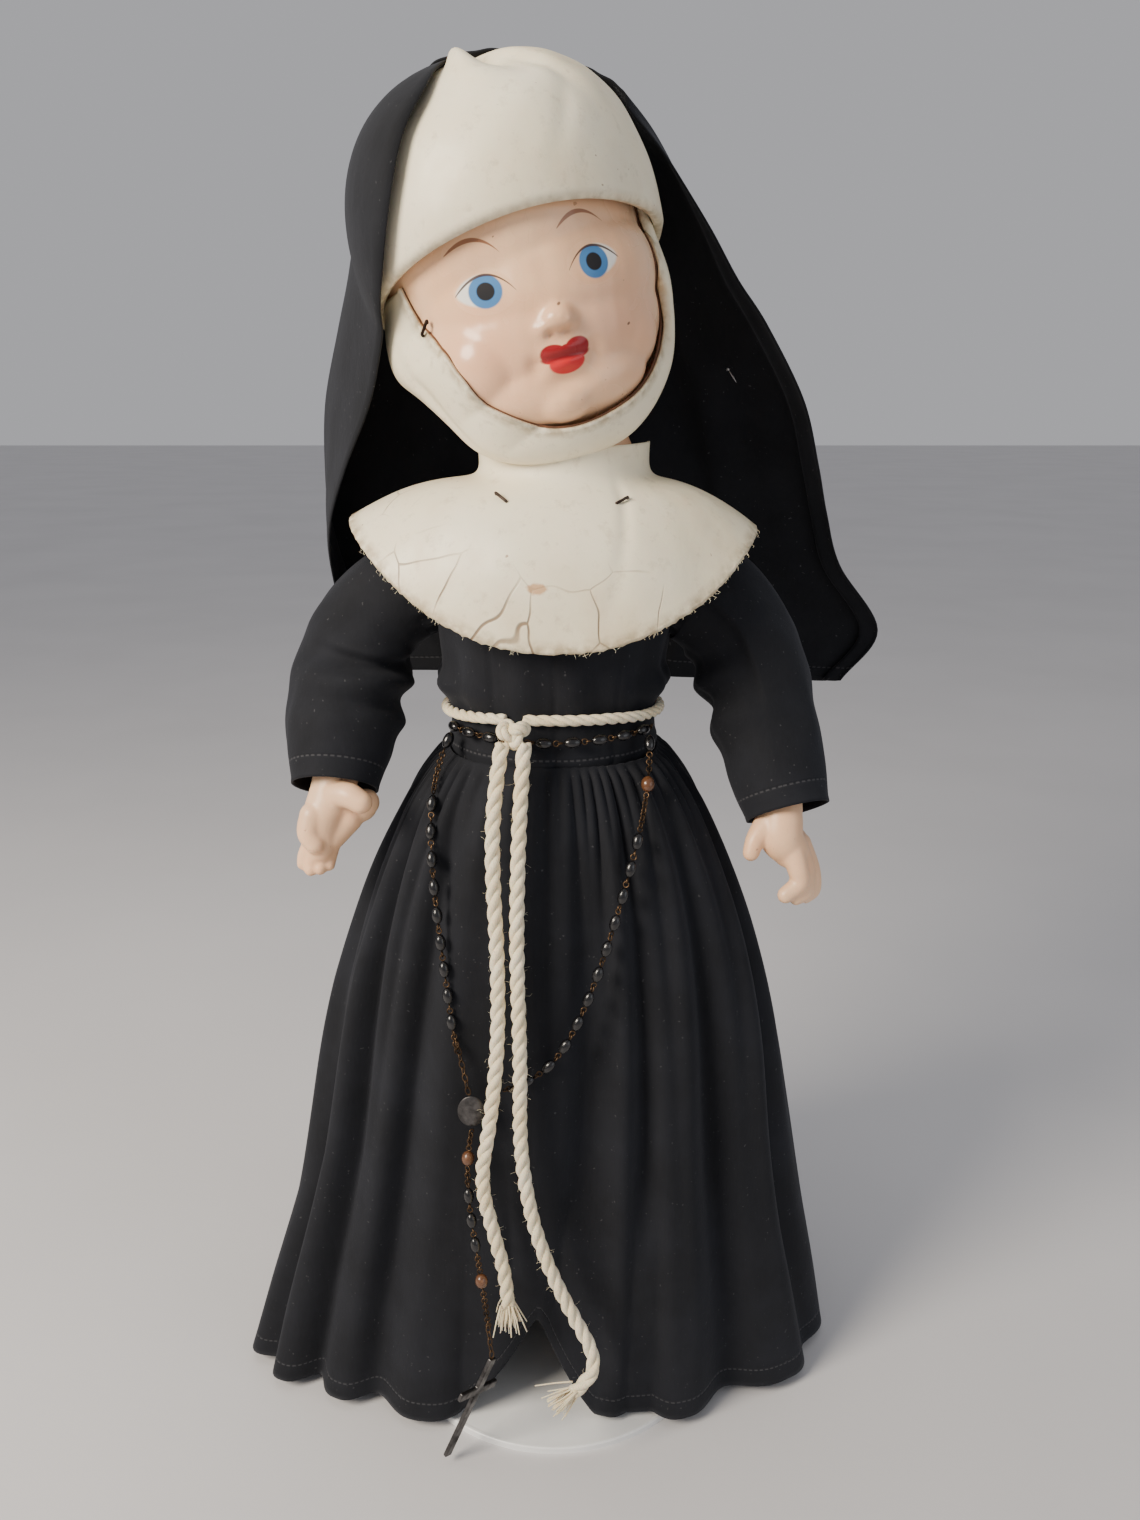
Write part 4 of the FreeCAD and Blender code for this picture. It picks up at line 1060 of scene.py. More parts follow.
def make_skirt():
    """The gathered skirt: pleats at the waist run into deep uneven folds, and the hem parts in front."""
    habit = settings("doll_habit")
    rows, columns = 110, 420
    levels = smooth_line(SKIRT_LEVELS, rows)
    f = np.arange(columns) / columns
    grid = np.zeros((rows, columns, 3))
    drop = (levels[0][0] - levels[:, 0]) / (levels[0][0] - levels[-1][0])
    depth = habit.fold_depth / MM
    for r, level in enumerate(levels):
        s = drop[r]
        ring = ring_at(level, 2.5, columns)
        out = outward_of(ring)
        g = f + 0.012 * np.sin(2 * pi * 3 * f + 1.0) + 0.008 * np.sin(2 * pi * 5 * f + 2.0)
        g = g + 0.010 * s * np.sin(2 * pi * 2 * f + 0.7)
        gather = np.cos(2 * pi * habit.gathers * g + 0.6 * np.sin(9 * f * 2 * pi))
        fine = 0.5 + 0.5 * np.cos(2 * pi * FINE_FOLDS * g + 1.0 + 1.6 * s)
        broad = 0.5 + 0.5 * np.cos(2 * pi * BROAD_FOLDS * g + 0.4 + 1.6 * s * np.sin(2 * pi * 2 * f + 1))
        wide = 0.5 + 0.5 * np.cos(2 * pi * WIDE_FOLDS * g + 2.6)
        near_waist = bell(s, 0.11) * min(1.0, s / 0.015)
        push = 1.4 * near_waist * gather
        push = push - 4.0 * min(1.0, s / 0.12) * (1 - s) ** 0.8 * fine**1.3
        push = push - depth * (0.62 * broad**1.6 * min(1.0, s * 1.6) ** 0.8 + 0.38 * wide * s)
        push = push + 0.4 * s
        bulge = wavy(11, np.cos(f * 2 * pi) * 2.2, np.sin(f * 2 * pi) * 2.2, s * 3.0)
        bulge = np.clip(bulge * 1.6, -1.0, 0.35)
        push = push + 6.5 * sin(pi * min(1.0, s * 0.9)) * bulge
        x, y = ring[:, 0], ring[:, 1]
        half_width = np.where(x < PARTING, 38.0, 27.0)
        parting = np.where(y < 0, np.clip(1 - np.abs(x - PARTING) / half_width, 0, 1), 0.0)
        push = push * (1 - 0.75 * parting)
        push = push - 13 * np.clip(parting * 1.6, 0, 1) ** 1.2 * s**5
        over_shoes = np.clip((s - 0.55) / 0.2, 0, 1) * (y < 0) * np.clip((66 - np.abs(x)) / 10, 0, 1)
        shallow = -8.0 - 8.0 * bell(x - PARTING, 11)
        push = push + np.maximum(shallow - push, 0) * over_shoes
        hem = 4.2 + 50 * parting**1.15 + 1.2 * (1 + wavy(21, f * 2 * pi * 5))
        z = level[0] + (hem - SKIRT_LEVELS[-1][0]) * s**3.0
        grid[r] = np.stack([x + out[:, 0] * push, y + out[:, 1] * push, z], axis=1)
    skirt = cloth_piece("skirt_cloth", grid * MM, True, habit.cloth)
    wear(skirt, "habit_cloth", "torso", ("skirt",))


WAIST_SEAM = BODICE_LEVELS[1][0]
BODICE_RISE = 107


def make_bodice():
    """The bodice: a seam down the front, darts, slack above the waist and a seam round the waist."""
    habit = settings("doll_habit")
    rows, columns = 70, 200
    levels = smooth_line(BODICE_LEVELS[::-1], rows)
    f = np.arange(columns) / columns
    grid = np.zeros((rows, columns, 3))
    for r, level in enumerate(levels):
        ring = ring_at(level, 2.0, columns)
        out = outward_of(ring)
        rise = (level[0] - WAIST_SEAM) / BODICE_RISE
        slack = bell(rise - 0.32, 0.16)
        push = 1.2 * slack * np.cos(2 * pi * 13 * f + 2 * rise) + 0.7 * wavy(31, f * 2 * pi * 4, rise * 6)
        x, y = ring[:, 0], ring[:, 1]
        seam = np.where(y < 0, bell(x - 1, 0.9), bell(x - 2, 1.2))
        dart = bell(np.abs(x - 1) - 24 - 6 * rise, 0.9) * (rise < 0.5) * (y < 0)
        push = push - 0.9 * seam - 0.8 * dart
        push = push + 0.9 * bell(level[0] - 325.5, 1.3) + 0.4
        push = push + 4.6 * bell(level[0] - 350.5, 5.5) * (x / 45) ** 4
        z = np.full(columns, level[0])
        grid[r] = np.stack([x + out[:, 0] * push, y + out[:, 1] * push, z], axis=1)
    bodice = cloth_piece("bodice_cloth", grid * MM, True, habit.cloth)
    wear(bodice, "habit_cloth", "torso", ("bodice",))


# For each arm: the sleeve's middle line from the armhole to the cuff, and its radii
SLEEVES = {
    "left": (
        (
            (50, 2, 394), (64, 2, 389), (78, 1, 376), (87, -1, 357), (93, -7, 335), (98, -16, 314),
            (102.5, -25, 297),
        ),
        (20.5, 23.5, 24.5, 25, 25, 22.5, 18.6),
    ),
    "right": (
        (
            (-50, 2, 394), (-64, 2, 389), (-78, 1, 377), (-86, -1, 360), (-91, -9, 340), (-93, -18, 324),
            (-94, -27, 309),
        ),
        (20.5, 23.5, 24.5, 25.5, 25.5, 23, 18.8),
    ),
}


def make_sleeve(side):
    """One long sleeve, full at the elbow, creased where it bends and hemmed at the cuff."""
    habit = settings("doll_habit")
    rows, columns = 90, 120
    middle, radii = SLEEVES[side]
    path = smooth_line(middle, rows)
    radius = smooth_line([(r, 0, 0) for r in radii], rows)[:, 0]
    tangent, across, up = frames_along(path)
    turn = np.linspace(0, 2 * pi, columns, endpoint=False)
    grid = np.zeros((rows, columns, 3))
    seed = 41 if side == "left" else 57
    for r in range(rows):
        s = r / (rows - 1)
        pucker = 1.3 * bell(s, 0.10) * min(1.0, s / 0.02) * np.cos(16 * turn)
        bend = bell(s - 0.55, 0.17)
        crease = 3.4 * bend * np.cos(2 * pi * (5.5 * s + 0.4 * np.cos(turn - 0.5)))
        crease = crease * (0.5 - 0.5 * np.cos(turn + 0.8))
        long_fold = 3.6 * np.sin(pi * min(1.0, s * 1.1)) * wavy(seed, turn * 1.0, s * 5, count=4)
        wave = 1.8 * wavy(seed + 1, np.cos(turn) * 3, np.sin(turn) * 3, s * 9)
        push = pucker + crease + long_fold + wave * np.sin(pi * s) - 0.5
        rim = 0.4 * bell(1 - s, 0.015)
        reach = (radius[r] + push + rim)[:, None]
        ring = np.cos(turn)[:, None] * across[r] + np.sin(turn)[:, None] * up[r]
        grid[r] = path[r] + ring * reach
    sleeve = cloth_piece("sleeve_cloth_" + side, grid * MM, True, habit.cloth)
    wear(sleeve, "habit_cloth", None, ("sleeve_" + side,))
    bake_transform(sleeve)


# ---------------------------------------------------------------- cape
CAPE_CLOTH = 1.1 * MM
CAPE_NECK = (5, 0, 438)
CAPE_NECK_RADIUS = 35.2
CAPE_NECK_HEIGHT = 12.0
EDGE_THREADS = 80
CAPE_TIPS = ((-86, 5, 421), (87, 5, 417))
CAPE_FRONT = (3, -60, 373)


def cape_point(share, t):
    """A point of the cape: share runs 0 to 1 from neck to edge, and t 0 to 1 from right tip to left."""
    turn = pi + pi * t
    across, front = abs(cos(turn)), abs(sin(turn))
    tip = CAPE_TIPS[0] if t < 0.5 else CAPE_TIPS[1]
    neck_x, neck_y = CAPE_NECK[0] + CAPE_NECK_RADIUS * cos(turn), CAPE_NECK_RADIUS * sin(turn)
    neck = np.array([neck_x, neck_y, CAPE_NECK[2]])
    edge = np.array([
        CAPE_FRONT[0] + (tip[0] - CAPE_FRONT[0]) * across**0.85,
        tip[1] + (CAPE_FRONT[1] - tip[1]) * front**0.8,
        CAPE_FRONT[2] + (tip[2] - CAPE_FRONT[2]) * across**1.9,
    ])
    swell = sin(pi * share) * (4.5 + 4.0 * front)
    return neck + (edge - neck) * share + np.array([0, -swell * front - 1.0, swell * 0.9 + 1.2])


def make_cape():
    """The half-round cape with its standing neck, curled cracked edge and frayed threads."""
    columns, fall, stand = 150, 60, 14
    grid = []
    for k in range(stand):
        lift = 1 - k / stand
        ring = []
        for j in range(columns):
            t = j / (columns - 1)
            turn = pi + pi * t
            low = cape_point(0, t)
            reach = CAPE_NECK_RADIUS + 0.8 * lift
            tall = CAPE_NECK_HEIGHT + 1.5 * cos(turn)
            y = reach * sin(turn) - 1.0 * (1 - lift)
            ring.append((CAPE_NECK[0] + reach * cos(turn), y, low[2] + tall * lift**1.3))
        grid.append(ring)
    for k in range(fall):
        share = k / (fall - 1)
        ring = []
        for j in range(columns):
            t = j / (columns - 1)
            point = cape_point(share, t)
            ripple = 1.1 * wavy(71, t * 14, share * 3) * share**2
            ripple = ripple + 0.5 * wavy(72, t * 30, share * 8) * share
            crease = 1.0 * bell(t - 0.70 + 0.16 * share, 0.018) * sin(pi * share) ** 0.5
            fray = 0.45 * share**20 * sin(j * 2.4) * sin(j * 0.9)
            ring.append(point + np.array([0, -ripple * 0.5 + crease * 0.4, ripple - crease + fray]))
        grid.append(ring)
    grid = np.array(grid)
    share = bell(np.arange(len(grid)) - stand + 1, 9.0)[:, None, None]
    for _ in range(60):
        middle = 0.5 * grid[1:-1] + 0.25 * (grid[:-2] + grid[2:])
        grid[1:-1] += (middle - grid[1:-1]) * share[1:-1]
    cape = cloth_piece("cape_cloth", grid * MM, False, CAPE_CLOTH, 1.0)
    wear(cape, "cape_oilcloth", "torso", ("cape",))
    draw = np.random.default_rng(9)
    threads = []
    edge = np.array(grid[-1])
    for _ in range(EDGE_THREADS):
        j = int(draw.integers(4, columns - 5))
        start = edge[j] + (edge[j + 1] - edge[j]) * draw.uniform()
        drop = np.array([draw.normal(0, 0.5), draw.normal(-0.3, 0.2), -1.0]) * draw.uniform(0.4, 1.9)
        bend = np.array([draw.normal(0, 0.5), draw.normal(-0.2, 0.2), 0.0])
        threads.append((np.array([start, start + drop * 0.5 + bend, start + drop]) * MM, 0.07 * MM))
    fringe = tubes_piece("cape_edge_threads", threads, 4)
    wear(fringe, "cotton_cord", "torso")


# For each node of staples: its body, and the two ends of each staple
STAPLE_WIRE = 0.62 * MM
STAPLE_LEG = np.array([0, 1.0, -0.35]) * 1.8
STAPLES = {
    "cape_staples": ("torso", (
        ((-21.5, -41.5, 434.5), (-17.5, -43.5, 431.5)),
        ((25.5, -43.0, 430.5), (30.0, -41.0, 432.8)),
    )),
    "chin_band_staple": ("head", (((-48.6, -39.5, 493.5), (-46.6, -41.0, 498.0)),)),
}


def make_staples():
    """The rusty staples that hold the cape and the chin band, each a wire pushed through the cloth."""
    for node, (body, ends) in STAPLES.items():
        wires = []
        for first, last in ends:
            first, last = np.array(first), np.array(last)
            middle = (first + last) / 2
            path = smooth_line([first + STAPLE_LEG, first, middle, last, last + STAPLE_LEG], 17)
            wires.append((path * MM, STAPLE_WIRE))
        wear(tubes_piece(node + "_wire", wires, 8), "dark_wire", body, (node,))


# ---------------------------------------------------------------- arms and hands, in millimetres
ARMS = {
    "left": [
        [((56, 2, 388), 14.6), ((69, 2, 388), 15.4)],
        [
            ((68, 2, 388), 15.3), ((88, 0, 352), 14.0), ((96, -10, 326), 12.0), ((99, -24, 304), 9.5),
            ((99, -30, 296), 9.0),
        ],
        [((99, -30, 296), 9.2), ((99, -32, 288), 9.6), ((103, -32, 282), 8.2)],
        [((93, -31, 293), 6.5), ((87.5, -35, 288), 4.4), ((85.4, -37, 282.5), 3.7)],
        [
            ((103, -35, 284), 5.4), ((105.5, -38, 276), 4.7), ((106.5, -39, 269.5), 4.2),
            ((100.5, -41, 264.5), 3.7),
        ],
        [
            ((106, -31, 283), 5.2), ((110, -33, 273), 4.1), ((110, -36, 264.5), 3.6),
            ((105.5, -39, 262), 3.0),
        ],
        [
            ((108, -27, 283), 5.2), ((113.5, -28, 272), 3.9), ((114.5, -31, 263.5), 3.3),
            ((110.5, -35, 261), 2.8),
        ],
        [((107, -23, 284), 5.0), ((113.0, -23, 275), 3.5), ((114.5, -25, 267), 3.0)],
    ],
    "right": [
        [((-56, 2, 388), 14.6), ((-69, 2, 388), 15.4)],
        [
            ((-68, 2, 388), 15.3), ((-88, -2, 354), 14.0), ((-92, -14, 332), 12.0),
            ((-93, -26, 316), 10.0), ((-95, -31, 306), 9.6),
        ],
        [((-95, -31, 306), 9.8), ((-98, -34, 298), 9.0), ((-99, -35, 290), 7.4), ((-100, -36, 284), 6.4)],
        [((-94, -31, 303), 8.4), ((-84, -29, 301), 7.4), ((-80.5, -30, 303), 6.0)],
        [((-88, -32, 297), 6.6), ((-95, -34, 289), 6.0)],
        [((-92, -36, 309), 6.0), ((-86, -40, 309.5), 5.6), ((-80.5, -42, 307), 5.0)],
        [((-102, -38, 300), 5.6), ((-103.5, -40, 293), 5.2), ((-101, -41.5, 288), 4.4)],
        [((-102.5, -36, 288), 4.4), ((-106.5, -36, 281), 3.5), ((-107.5, -37, 277.5), 2.9)],
        [((-101, -37, 286), 4.4), ((-103.5, -37.5, 279), 3.6), ((-104.0, -39, 275.5), 2.9)],
        [((-98.5, -36, 286), 4.4), ((-100.0, -37, 279), 3.6), ((-100.0, -39, 276), 2.9)],
        [((-95.5, -34, 286), 4.2), ((-96.5, -35, 280), 3.4), ((-96.5, -37, 277), 2.8)],
    ],
}


def rounded_limb(stations):
    """A tube through (point, radius) stations with round ends, in metres."""
    centres = smooth_line([s[0] for s in stations], 10 * len(stations))
    radii = smooth_line([(s[1], 0, 0) for s in stations], 10 * len(stations))[:, 0]
    first, last = centres[0] - centres[1], centres[-1] - centres[-2]
    first, last = first / np.linalg.norm(first), last / np.linalg.norm(last)
    cap = np.linspace(0.12, pi / 2, 6)
    head = [centres[0] + first * radii[0] * cos(a) for a in cap]
    tail = [centres[-1] + last * radii[-1] * cos(a) for a in cap[::-1]]
    path = np.array(head[:-1] + list(centres) + tail[1:])
    sizes = np.concatenate([radii[0] * np.sin(cap)[:-1], radii, radii[-1] * np.sin(cap[::-1])[1:]])
    points, faces = tube_points(path * MM, sizes * MM, 24)
    return new_object("limb", points, faces)


ARM_VOXEL = 0.8 * MM
ARM_SMOOTHING = 5


def make_arm(side):
    pieces = [rounded_limb(stations) for stations in ARMS[side]]
    arm = melted(joined("arm_skin_" + side, pieces), ARM_VOXEL, ARM_SMOOTHING)
    wear(arm, "limb_skin", "arm_" + side, ("arm_" + side,))


# ---------------------------------------------------------------- cord belt
SHORT_END = (
    (-20, -54, 336), (-23.5, -59, 316), (-24.5, -63.5, 286), (-22.5, -66.5, 246),
    (-23, -69, 206), (-27, -70, 170), (-32, -70.4, 142), (-26, -70.6, 114),
    (-21, -71, 92), (-20.5, -71.5, 78),
)
LONG_END = (
    (-11, -54, 336), (-12.5, -59, 316), (-14, -63.5, 286), (-14.8, -67, 246), (-13.5, -69, 200),
    (-14.5, -70, 160), (-10, -71, 125), (-2, -72, 98), (9, -74, 74), (18, -77, 58),
    (18, -80, 46), (9, -82, 40),
)


def route_line(name, route):
    """Points along the smooth line of a cord whose control points are the route, in metres."""
    curve = bpy.data.curves.new(name, "CURVE")
    curve.dimensions = "3D"
    spline = curve.splines.new("NURBS")
    spline.points.add(len(route) - 1)
    for point, place in zip(spline.points, route):
        point.co = (*(c * MM for c in place), 1.0)
    spline.order_u = 3
    spline.use_endpoint_u = True
    spline.resolution_u = 24
    holder = bpy.data.objects.new(name, curve)
    bpy.context.scene.collection.objects.link(holder)
    mesh = bpy.data.meshes.new_from_object(holder)
    points = np.array([v.co[:] for v in mesh.vertices])
    bpy.data.objects.remove(holder)
    bpy.data.meshes.remove(mesh)
    run = np.concatenate([[0], np.cumsum(np.linalg.norm(np.diff(points, axis=0), axis=1))])
    at = np.linspace(0, run[-1], max(8, int(run[-1] / (1.1 * MM))))
    return np.stack([np.interp(at, run, points[:, i]) for i in range(3)], axis=1)


# A strand's radius and its distance from the cord's middle, in cord diameters
STRAND_RADIUS = 0.268
STRAND_OFFSET = 0.24


def strands_along(line, diameter, lay):
    """Three strands laid round a line, each as (path, radii)."""
    _, side, up = frames_along(line)
    run = np.concatenate([[0], np.cumsum(np.linalg.norm(np.diff(line, axis=0), axis=1))])
    strands = []
    for k in range(3):
        turn = 2 * pi * (run / lay + k / 3)
        ring = np.cos(turn)[:, None] * side + np.sin(turn)[:, None] * up
        plump = STRAND_RADIUS * diameter * (1 + 0.03 * np.sin(run * 900 + k * 2))
        strands.append((line + ring * diameter * STRAND_OFFSET, plump))
    return strands


HAIRS = 260
HAIR_RADIUS = 0.045 * MM
YARNS = 46
FRAY_LENGTH = 14.0 * MM


def fuzz_on(line, diameter, seed):
    """Loose fibres that stand off a cord."""
    draw = np.random.default_rng(seed)
    fibres = []
    for _ in range(HAIRS):
        i = int(draw.integers(2, len(line) - 3))
        way = draw.normal(size=3)
        way /= np.linalg.norm(way)
        start = line[i] + way * diameter * 0.42
        end = start + way * diameter * draw.uniform(0.12, 0.35) + draw.normal(size=3) * 0.9 * MM
        middle = (start + end) / 2 + draw.normal(size=3) * 0.5 * MM
        fibres.append((np.array([start, middle, end]), HAIR_RADIUS))
    return fibres


def frayed_end(name, line, seed, node):
    """The untwisted end of a cord: yarns that splay and curl."""
    draw = np.random.default_rng(seed)
    way = line[-1] - line[-3]
    way = way / np.linalg.norm(way)
    yarns = []
    for _ in range(YARNS):
        off = draw.normal(size=3) * 1.25 * MM
        off -= way * off.dot(way)
        spread = off * draw.uniform(1.0, 2.3)
        long = FRAY_LENGTH * draw.uniform(0.75, 1.08)
        start = line[-1] + off * 0.9 - way * 2.0 * MM
        bend = start + way * long * 0.45 + spread * 0.5 + draw.normal(size=3) * 0.35 * MM
        end = start + way * long + spread * 1.1 + draw.normal(size=3) * 0.7 * MM
        path = smooth_line([start, bend, end], 7)
        yarns.append((path, np.linspace(0.46, 0.26, 7) * MM))
    tassel = tubes_piece(name, yarns, 6)
    return wear(tassel, "cotton_cord", "torso", (node,))


def make_cord_ends():
    belt = settings("doll_belt")
    for label, route, seed in (("short", SHORT_END, 13), ("long", LONG_END, 29)):
        line = route_line("cord_route_" + label, route)
        tubes = strands_along(line, belt.cord, belt.lay)
        cord = tubes_piece("cord_strands_" + label, tubes, 10)
        wear(cord, "cotton_cord", "torso", ("cord_end_" + label,))
        tassel = frayed_end("frayed_end_" + label, line, seed, "tassel_" + label)
        hairs = tubes_piece("cord_fuzz_" + label, fuzz_on(line, belt.cord, seed), 3)
        wear(hairs, "cotton_cord", "torso")


def make_waist_cord():
    """The cord round the waist, drawn tight, and the knot that its ends hang from."""
    belt = settings("doll_belt")
    gap = belt.waist_cord / 2 / MM + 1.0
    turn = np.linspace(radians(114), radians(360 + 104), 300)
    depth = np.where(np.sin(turn) > 0, 38.5 + gap, 46.5 + gap)
    wobble = 0.35 * wavy(91, turn * 3)
    line = np.stack([(43.8 + gap) * np.cos(turn), -depth * np.sin(turn), 341.5 + wobble], axis=1) * MM
    line[:, 2] += (0.8 - 3.0 * np.cos(turn) ** 2) * MM
    cord = tubes_piece("waist_cord", strands_along(line, belt.waist_cord, belt.lay * 0.75), 10)
    wear(cord, "cotton_cord", "torso", ("belt_cord",))
    t = np.linspace(0, 2 * pi, 120)
    centre = np.array([-15.5, -52.0, 339.8])
    loop = np.stack([2.0 * (np.sin(t) + 1.5 * np.sin(2 * t)), 2.2 * np.sin(3 * t),
                     1.75 * (np.cos(t) - 1.5 * np.cos(2 * t))], axis=1)
    knot = tubes_piece("cord_knot", strands_along((centre + loop) * MM, 5.4 * MM, 11 * MM), 9)
    wear(knot, "cotton_cord", "torso", ("belt_knot",))


# Runs of oval links: from the strand's end to the medal, and from the pendant's end to the cross
LINK_RUNS = {
    "medal_chain": ((-41.2, -61.4, 205.5), (-36.4, -62.8, 180.5), 8),
    "cross_chain": ((-29.4, -75.6, 70.5), (-27.6, -77.4, 54.8), 5),
}


LINK_RADIUS = 1.15 * MM
LINK_WIRE = 0.27 * MM
LINK_STRETCH = 1.6


def make_link_runs():
    """The runs of small oval links that the medal and the cross hang from."""
    for name, (start, end, count) in LINK_RUNS.items():
        start, end = Vector(start) * MM, Vector(end) * MM
        way = end - start
        aim = way.to_track_quat("X", "Z").to_matrix().to_4x4()
        rings = []
        for k in range(count):
            bpy.ops.mesh.primitive_torus_add(
                major_radius=LINK_RADIUS, minor_radius=LINK_WIRE, major_segments=20, minor_segments=8
            )
            ring = bpy.context.object
            spin = Matrix.Rotation(k % 2 * pi / 2, 4, "X") @ Matrix.Diagonal((LINK_STRETCH, 1, 1, 1))
            ring.data.transform(Matrix.Translation(start + way * (k + 0.5) / count) @ aim @ spin)
            rings.append(ring)
        chain = joined(name, rings)
        smooth_shading(chain)
        wear(chain, "bronze_wire", "torso")


# ---------------------------------------------------------------- pieces kept from the frame
KEPT_NODES = {
    "white_enamel": ("stand_base", "stand_tube", "tube_collar", "tube_ferrule"),
    "plated_steel": ("base_screw", "tube_plug", "stand_rod", "clip_hub", "back_snaps"),
    "spring_wire": ("clip_arms", "neck_hook"),
    "grip_vinyl": ("clip_sleeves",),
    "limb_skin": ("torso", "leg_left", "leg_right"),
    "elastic_cord": ("arm_elastic", "leg_elastic", "neck_elastic"),
    "dowel_wood": ("neck_dowel",),
    "black_bead": ("rosary_beads",),
    "brown_bead": ("rosary_large_beads",),
    "bronze_wire": ("rosary_links",),
    "dull_metal": ("rosary_medal", "crucifix"),
    "shoe_leather": ("shoe_left", "shoe_right"),
}


def dress_kept_nodes():
    for name, nodes in KEPT_NODES.items():
        for node in nodes:
            obj = frame["nodes"][node]
            if not obj.data.materials:
                obj.data.materials.append(None)
            for slot in obj.material_slots:
                slot.material = finish(name)


# ---------------------------------------------------------------- studio
FLOOR_SIZE = 24.0
FLOOR_MOTTLE = 0.94
SKY_TINT = (0.90, 0.90, 0.94, 1.0)
SKY_STRENGTH = 0.48
SENSOR = 36


def make_studio():
    studio = settings("doll_studio")
    bpy.ops.mesh.primitive_plane_add(size=FLOOR_SIZE, location=(0, 0, 0))
    floor = bpy.context.object
    floor.name = "studio_floor"
    f = Finish("studio_paper")
    pale = tuple(studio.floor_colour)
    tone = f.mix(f.fade(f.noise(3.0, 3.0), 0.35, 0.7), pale, tuple(c * FLOOR_MOTTLE for c in pale))
    grain = f.bump(f.noise(90, 3.0), 0.4 * MM, 0.3)
    floor.data.materials.append(f.set(base=tone, rough=0.8, normal=grain))

    world = bpy.context.scene.world or bpy.data.worlds.new("studio_world")
    bpy.context.scene.world = world
    world.use_nodes = True
    world.node_tree.nodes["Background"].inputs["Color"].default_value = SKY_TINT
    world.node_tree.nodes["Background"].inputs["Strength"].default_value = SKY_STRENGTH

    def soft_light(name, at, aim, size, power, tint):
        data = bpy.data.lights.new(name, "AREA")
        data.shape = "DISK"
        data.size = size
        data.energy = power
        data.color = tint
        lamp = bpy.data.objects.new(name, data)
        lamp.location = at
        lamp.rotation_euler = (Vector(aim) - Vector(at)).to_track_quat("-Z", "Y").to_euler()
        bpy.context.scene.collection.objects.link(lamp)

    soft_light("key_light", (-0.85, -0.70, 0.95), (0, 0, 0.36), 0.6, studio.key_power, (1.0, 0.90, 0.76))
    soft_light("fill_light", (0.95, -0.7, 0.55), (0, 0, 0.3), 0.9, studio.fill_power, (0.92, 0.95, 1.0))
    soft_light("top_light", (-0.15, 0.1, 1.35), (0, 0, 0.3), 0.8, studio.fill_power, (1.0, 0.98, 0.95))

    camera = bpy.data.objects.new("studio_camera", bpy.data.cameras.new("studio_camera"))
    camera.location = studio.camera_at
    camera.rotation_euler = (pi / 2 - studio.camera_pitch, 0, 0)
    camera.data.lens = studio.lens
    camera.data.sensor_width = SENSOR
    camera.data.clip_start = 0.01
    bpy.context.scene.collection.objects.link(camera)
    bpy.context.scene.camera = camera


# ---------------------------------------------------------------- operators
class DOLL_OT_stage(bpy.types.Operator):
    """Sets up the pale floor, the soft lights and the camera"""

    bl_idname = "doll.stage"
    bl_label = "Stage"
    bl_options = {"REGISTER", "UNDO"}

    def execute(self, context):
        make_studio()
        return {"FINISHED"}


class DOLL_OT_cords(bpy.types.Operator):
    """Lays the two hanging cord ends with their frayed tips"""

    bl_idname = "doll.cords"
    bl_label = "Cord Ends"
    bl_options = {"REGISTER", "UNDO"}

    def execute(self, context):
        make_cord_ends()
        return {"FINISHED"}


class DOLL_OT_waist_cord(bpy.types.Operator):
    """Ties the cord round the waist"""

    bl_idname = "doll.waist_cord"
    bl_label = "Waist Cord and Knot"
    bl_options = {"REGISTER", "UNDO"}

    def execute(self, context):
        make_waist_cord()
        return {"FINISHED"}


class DOLL_OT_head(bpy.types.Operator):
    """Models the painted composition head"""

    bl_idname = "doll.head"
    bl_label = "Head"
    bl_options = {"REGISTER", "UNDO"}

    def execute(self, context):
        make_head()
        return {"FINISHED"}


class DOLL_OT_arms(bpy.types.Operator):
    """Models both arms and their hands"""

    bl_idname = "doll.arms"
    bl_label = "Arms"
    bl_options = {"REGISTER", "UNDO"}

    def execute(self, context):
        for side in ARMS:
            make_arm(side)
        return {"FINISHED"}


class DOLL_OT_headwear(bpy.types.Operator):
    """Makes the oilcloth cap and the chin band"""

    bl_idname = "doll.headwear"
    bl_label = "Cap and Chin Band"
    bl_options = {"REGISTER", "UNDO"}

    def execute(self, context):
        make_cap()
        make_chin_band()
        return {"FINISHED"}


class DOLL_OT_veil(bpy.types.Operator):
    """Drapes the veil over the cap"""

    bl_idname = "doll.veil"
    bl_label = "Veil"
    bl_options = {"REGISTER", "UNDO"}

    def execute(self, context):
        make_veil()
        return {"FINISHED"}


class DOLL_OT_skirt(bpy.types.Operator):
    """Gathers the skirt"""

    bl_idname = "doll.skirt"
    bl_label = "Skirt"
    bl_options = {"REGISTER", "UNDO"}

    def execute(self, context):
        make_skirt()
        return {"FINISHED"}


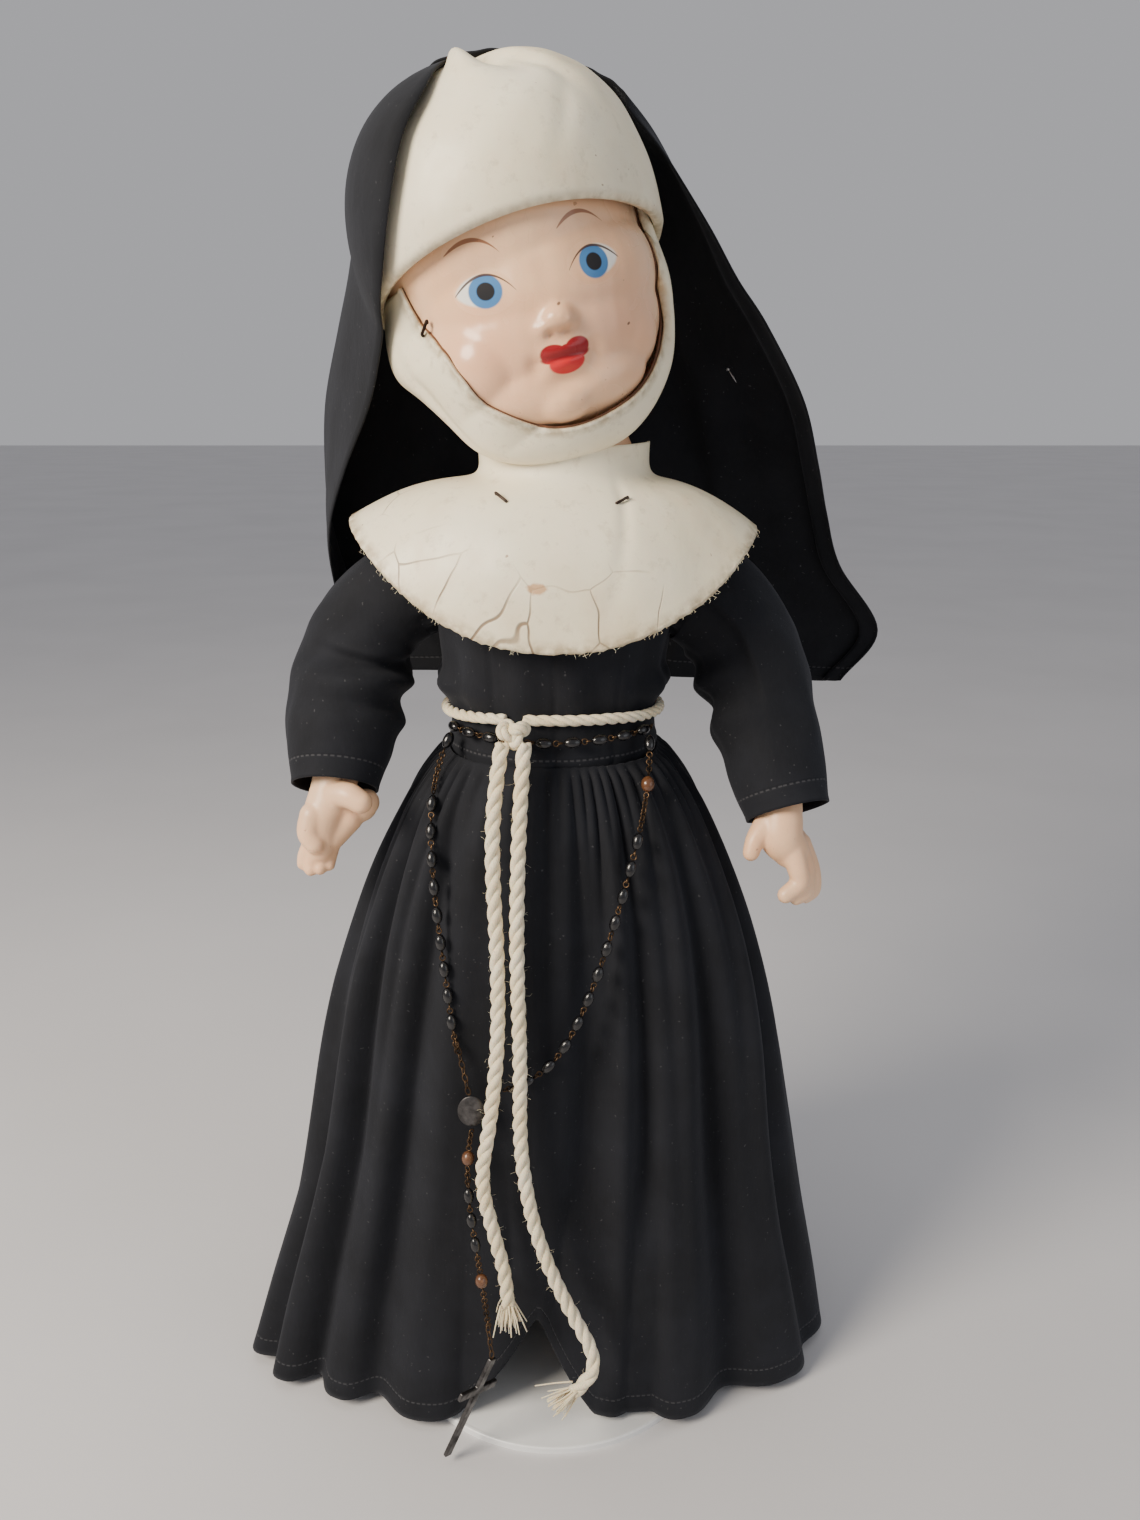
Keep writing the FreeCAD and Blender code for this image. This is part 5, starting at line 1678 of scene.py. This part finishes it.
class DOLL_OT_bodice(bpy.types.Operator):
    """Makes the bodice and both sleeves"""

    bl_idname = "doll.bodice"
    bl_label = "Bodice and Sleeves"
    bl_options = {"REGISTER", "UNDO"}

    def execute(self, context):
        make_bodice()
        for side in SLEEVES:
            make_sleeve(side)
        return {"FINISHED"}


class DOLL_OT_cape(bpy.types.Operator):
    """Makes the white cape with its frayed edge, and the staples"""

    bl_idname = "doll.cape"
    bl_label = "Cape and Staples"
    bl_options = {"REGISTER", "UNDO"}

    def execute(self, context):
        make_cape()
        make_staples()
        return {"FINISHED"}


class DOLL_OT_kept_nodes(bpy.types.Operator):
    """Finishes the pieces that keep their CAD shape"""

    bl_idname = "doll.kept_nodes"
    bl_label = "Stand, Rosary and Fittings"
    bl_options = {"REGISTER", "UNDO"}

    def execute(self, context):
        make_link_runs()
        dress_kept_nodes()
        return {"FINISHED"}


STEPS = (
    DOLL_OT_stage, DOLL_OT_cords, DOLL_OT_waist_cord, DOLL_OT_head, DOLL_OT_arms, DOLL_OT_headwear,
    DOLL_OT_veil, DOLL_OT_skirt, DOLL_OT_bodice, DOLL_OT_cape, DOLL_OT_kept_nodes,
)


class DOLL_PT_panel(bpy.types.Panel):
    """The doll's settings and steps in the sidebar"""

    bl_idname = "DOLL_PT_panel"
    bl_label = "Dressed Doll"
    bl_space_type = "VIEW_3D"
    bl_region_type = "UI"
    bl_category = "Doll"

    def draw(self, context):
        for name, group in GROUPS.items():
            column = self.layout.column(align=True)
            for setting in group.__annotations__:
                column.prop(getattr(context.scene, name), setting)
        for step in STEPS:
            self.layout.operator(step.bl_idname)


def register():
    for name, group in GROUPS.items():
        bpy.utils.register_class(group)
        setattr(bpy.types.Scene, name, PointerProperty(type=group))
    for step in STEPS:
        bpy.utils.register_class(step)
    bpy.utils.register_class(DOLL_PT_panel)


def unregister():
    bpy.utils.unregister_class(DOLL_PT_panel)
    for step in reversed(STEPS):
        bpy.utils.unregister_class(step)
    for name, group in GROUPS.items():
        delattr(bpy.types.Scene, name)
        bpy.utils.unregister_class(group)


def main():
    register()
    bpy.ops.object.select_all(action="DESELECT")
    for step in STEPS:
        operator = getattr(bpy.ops.doll, step.bl_idname.split(".")[1])
        operator()


if __name__ == "__main__":
    main()
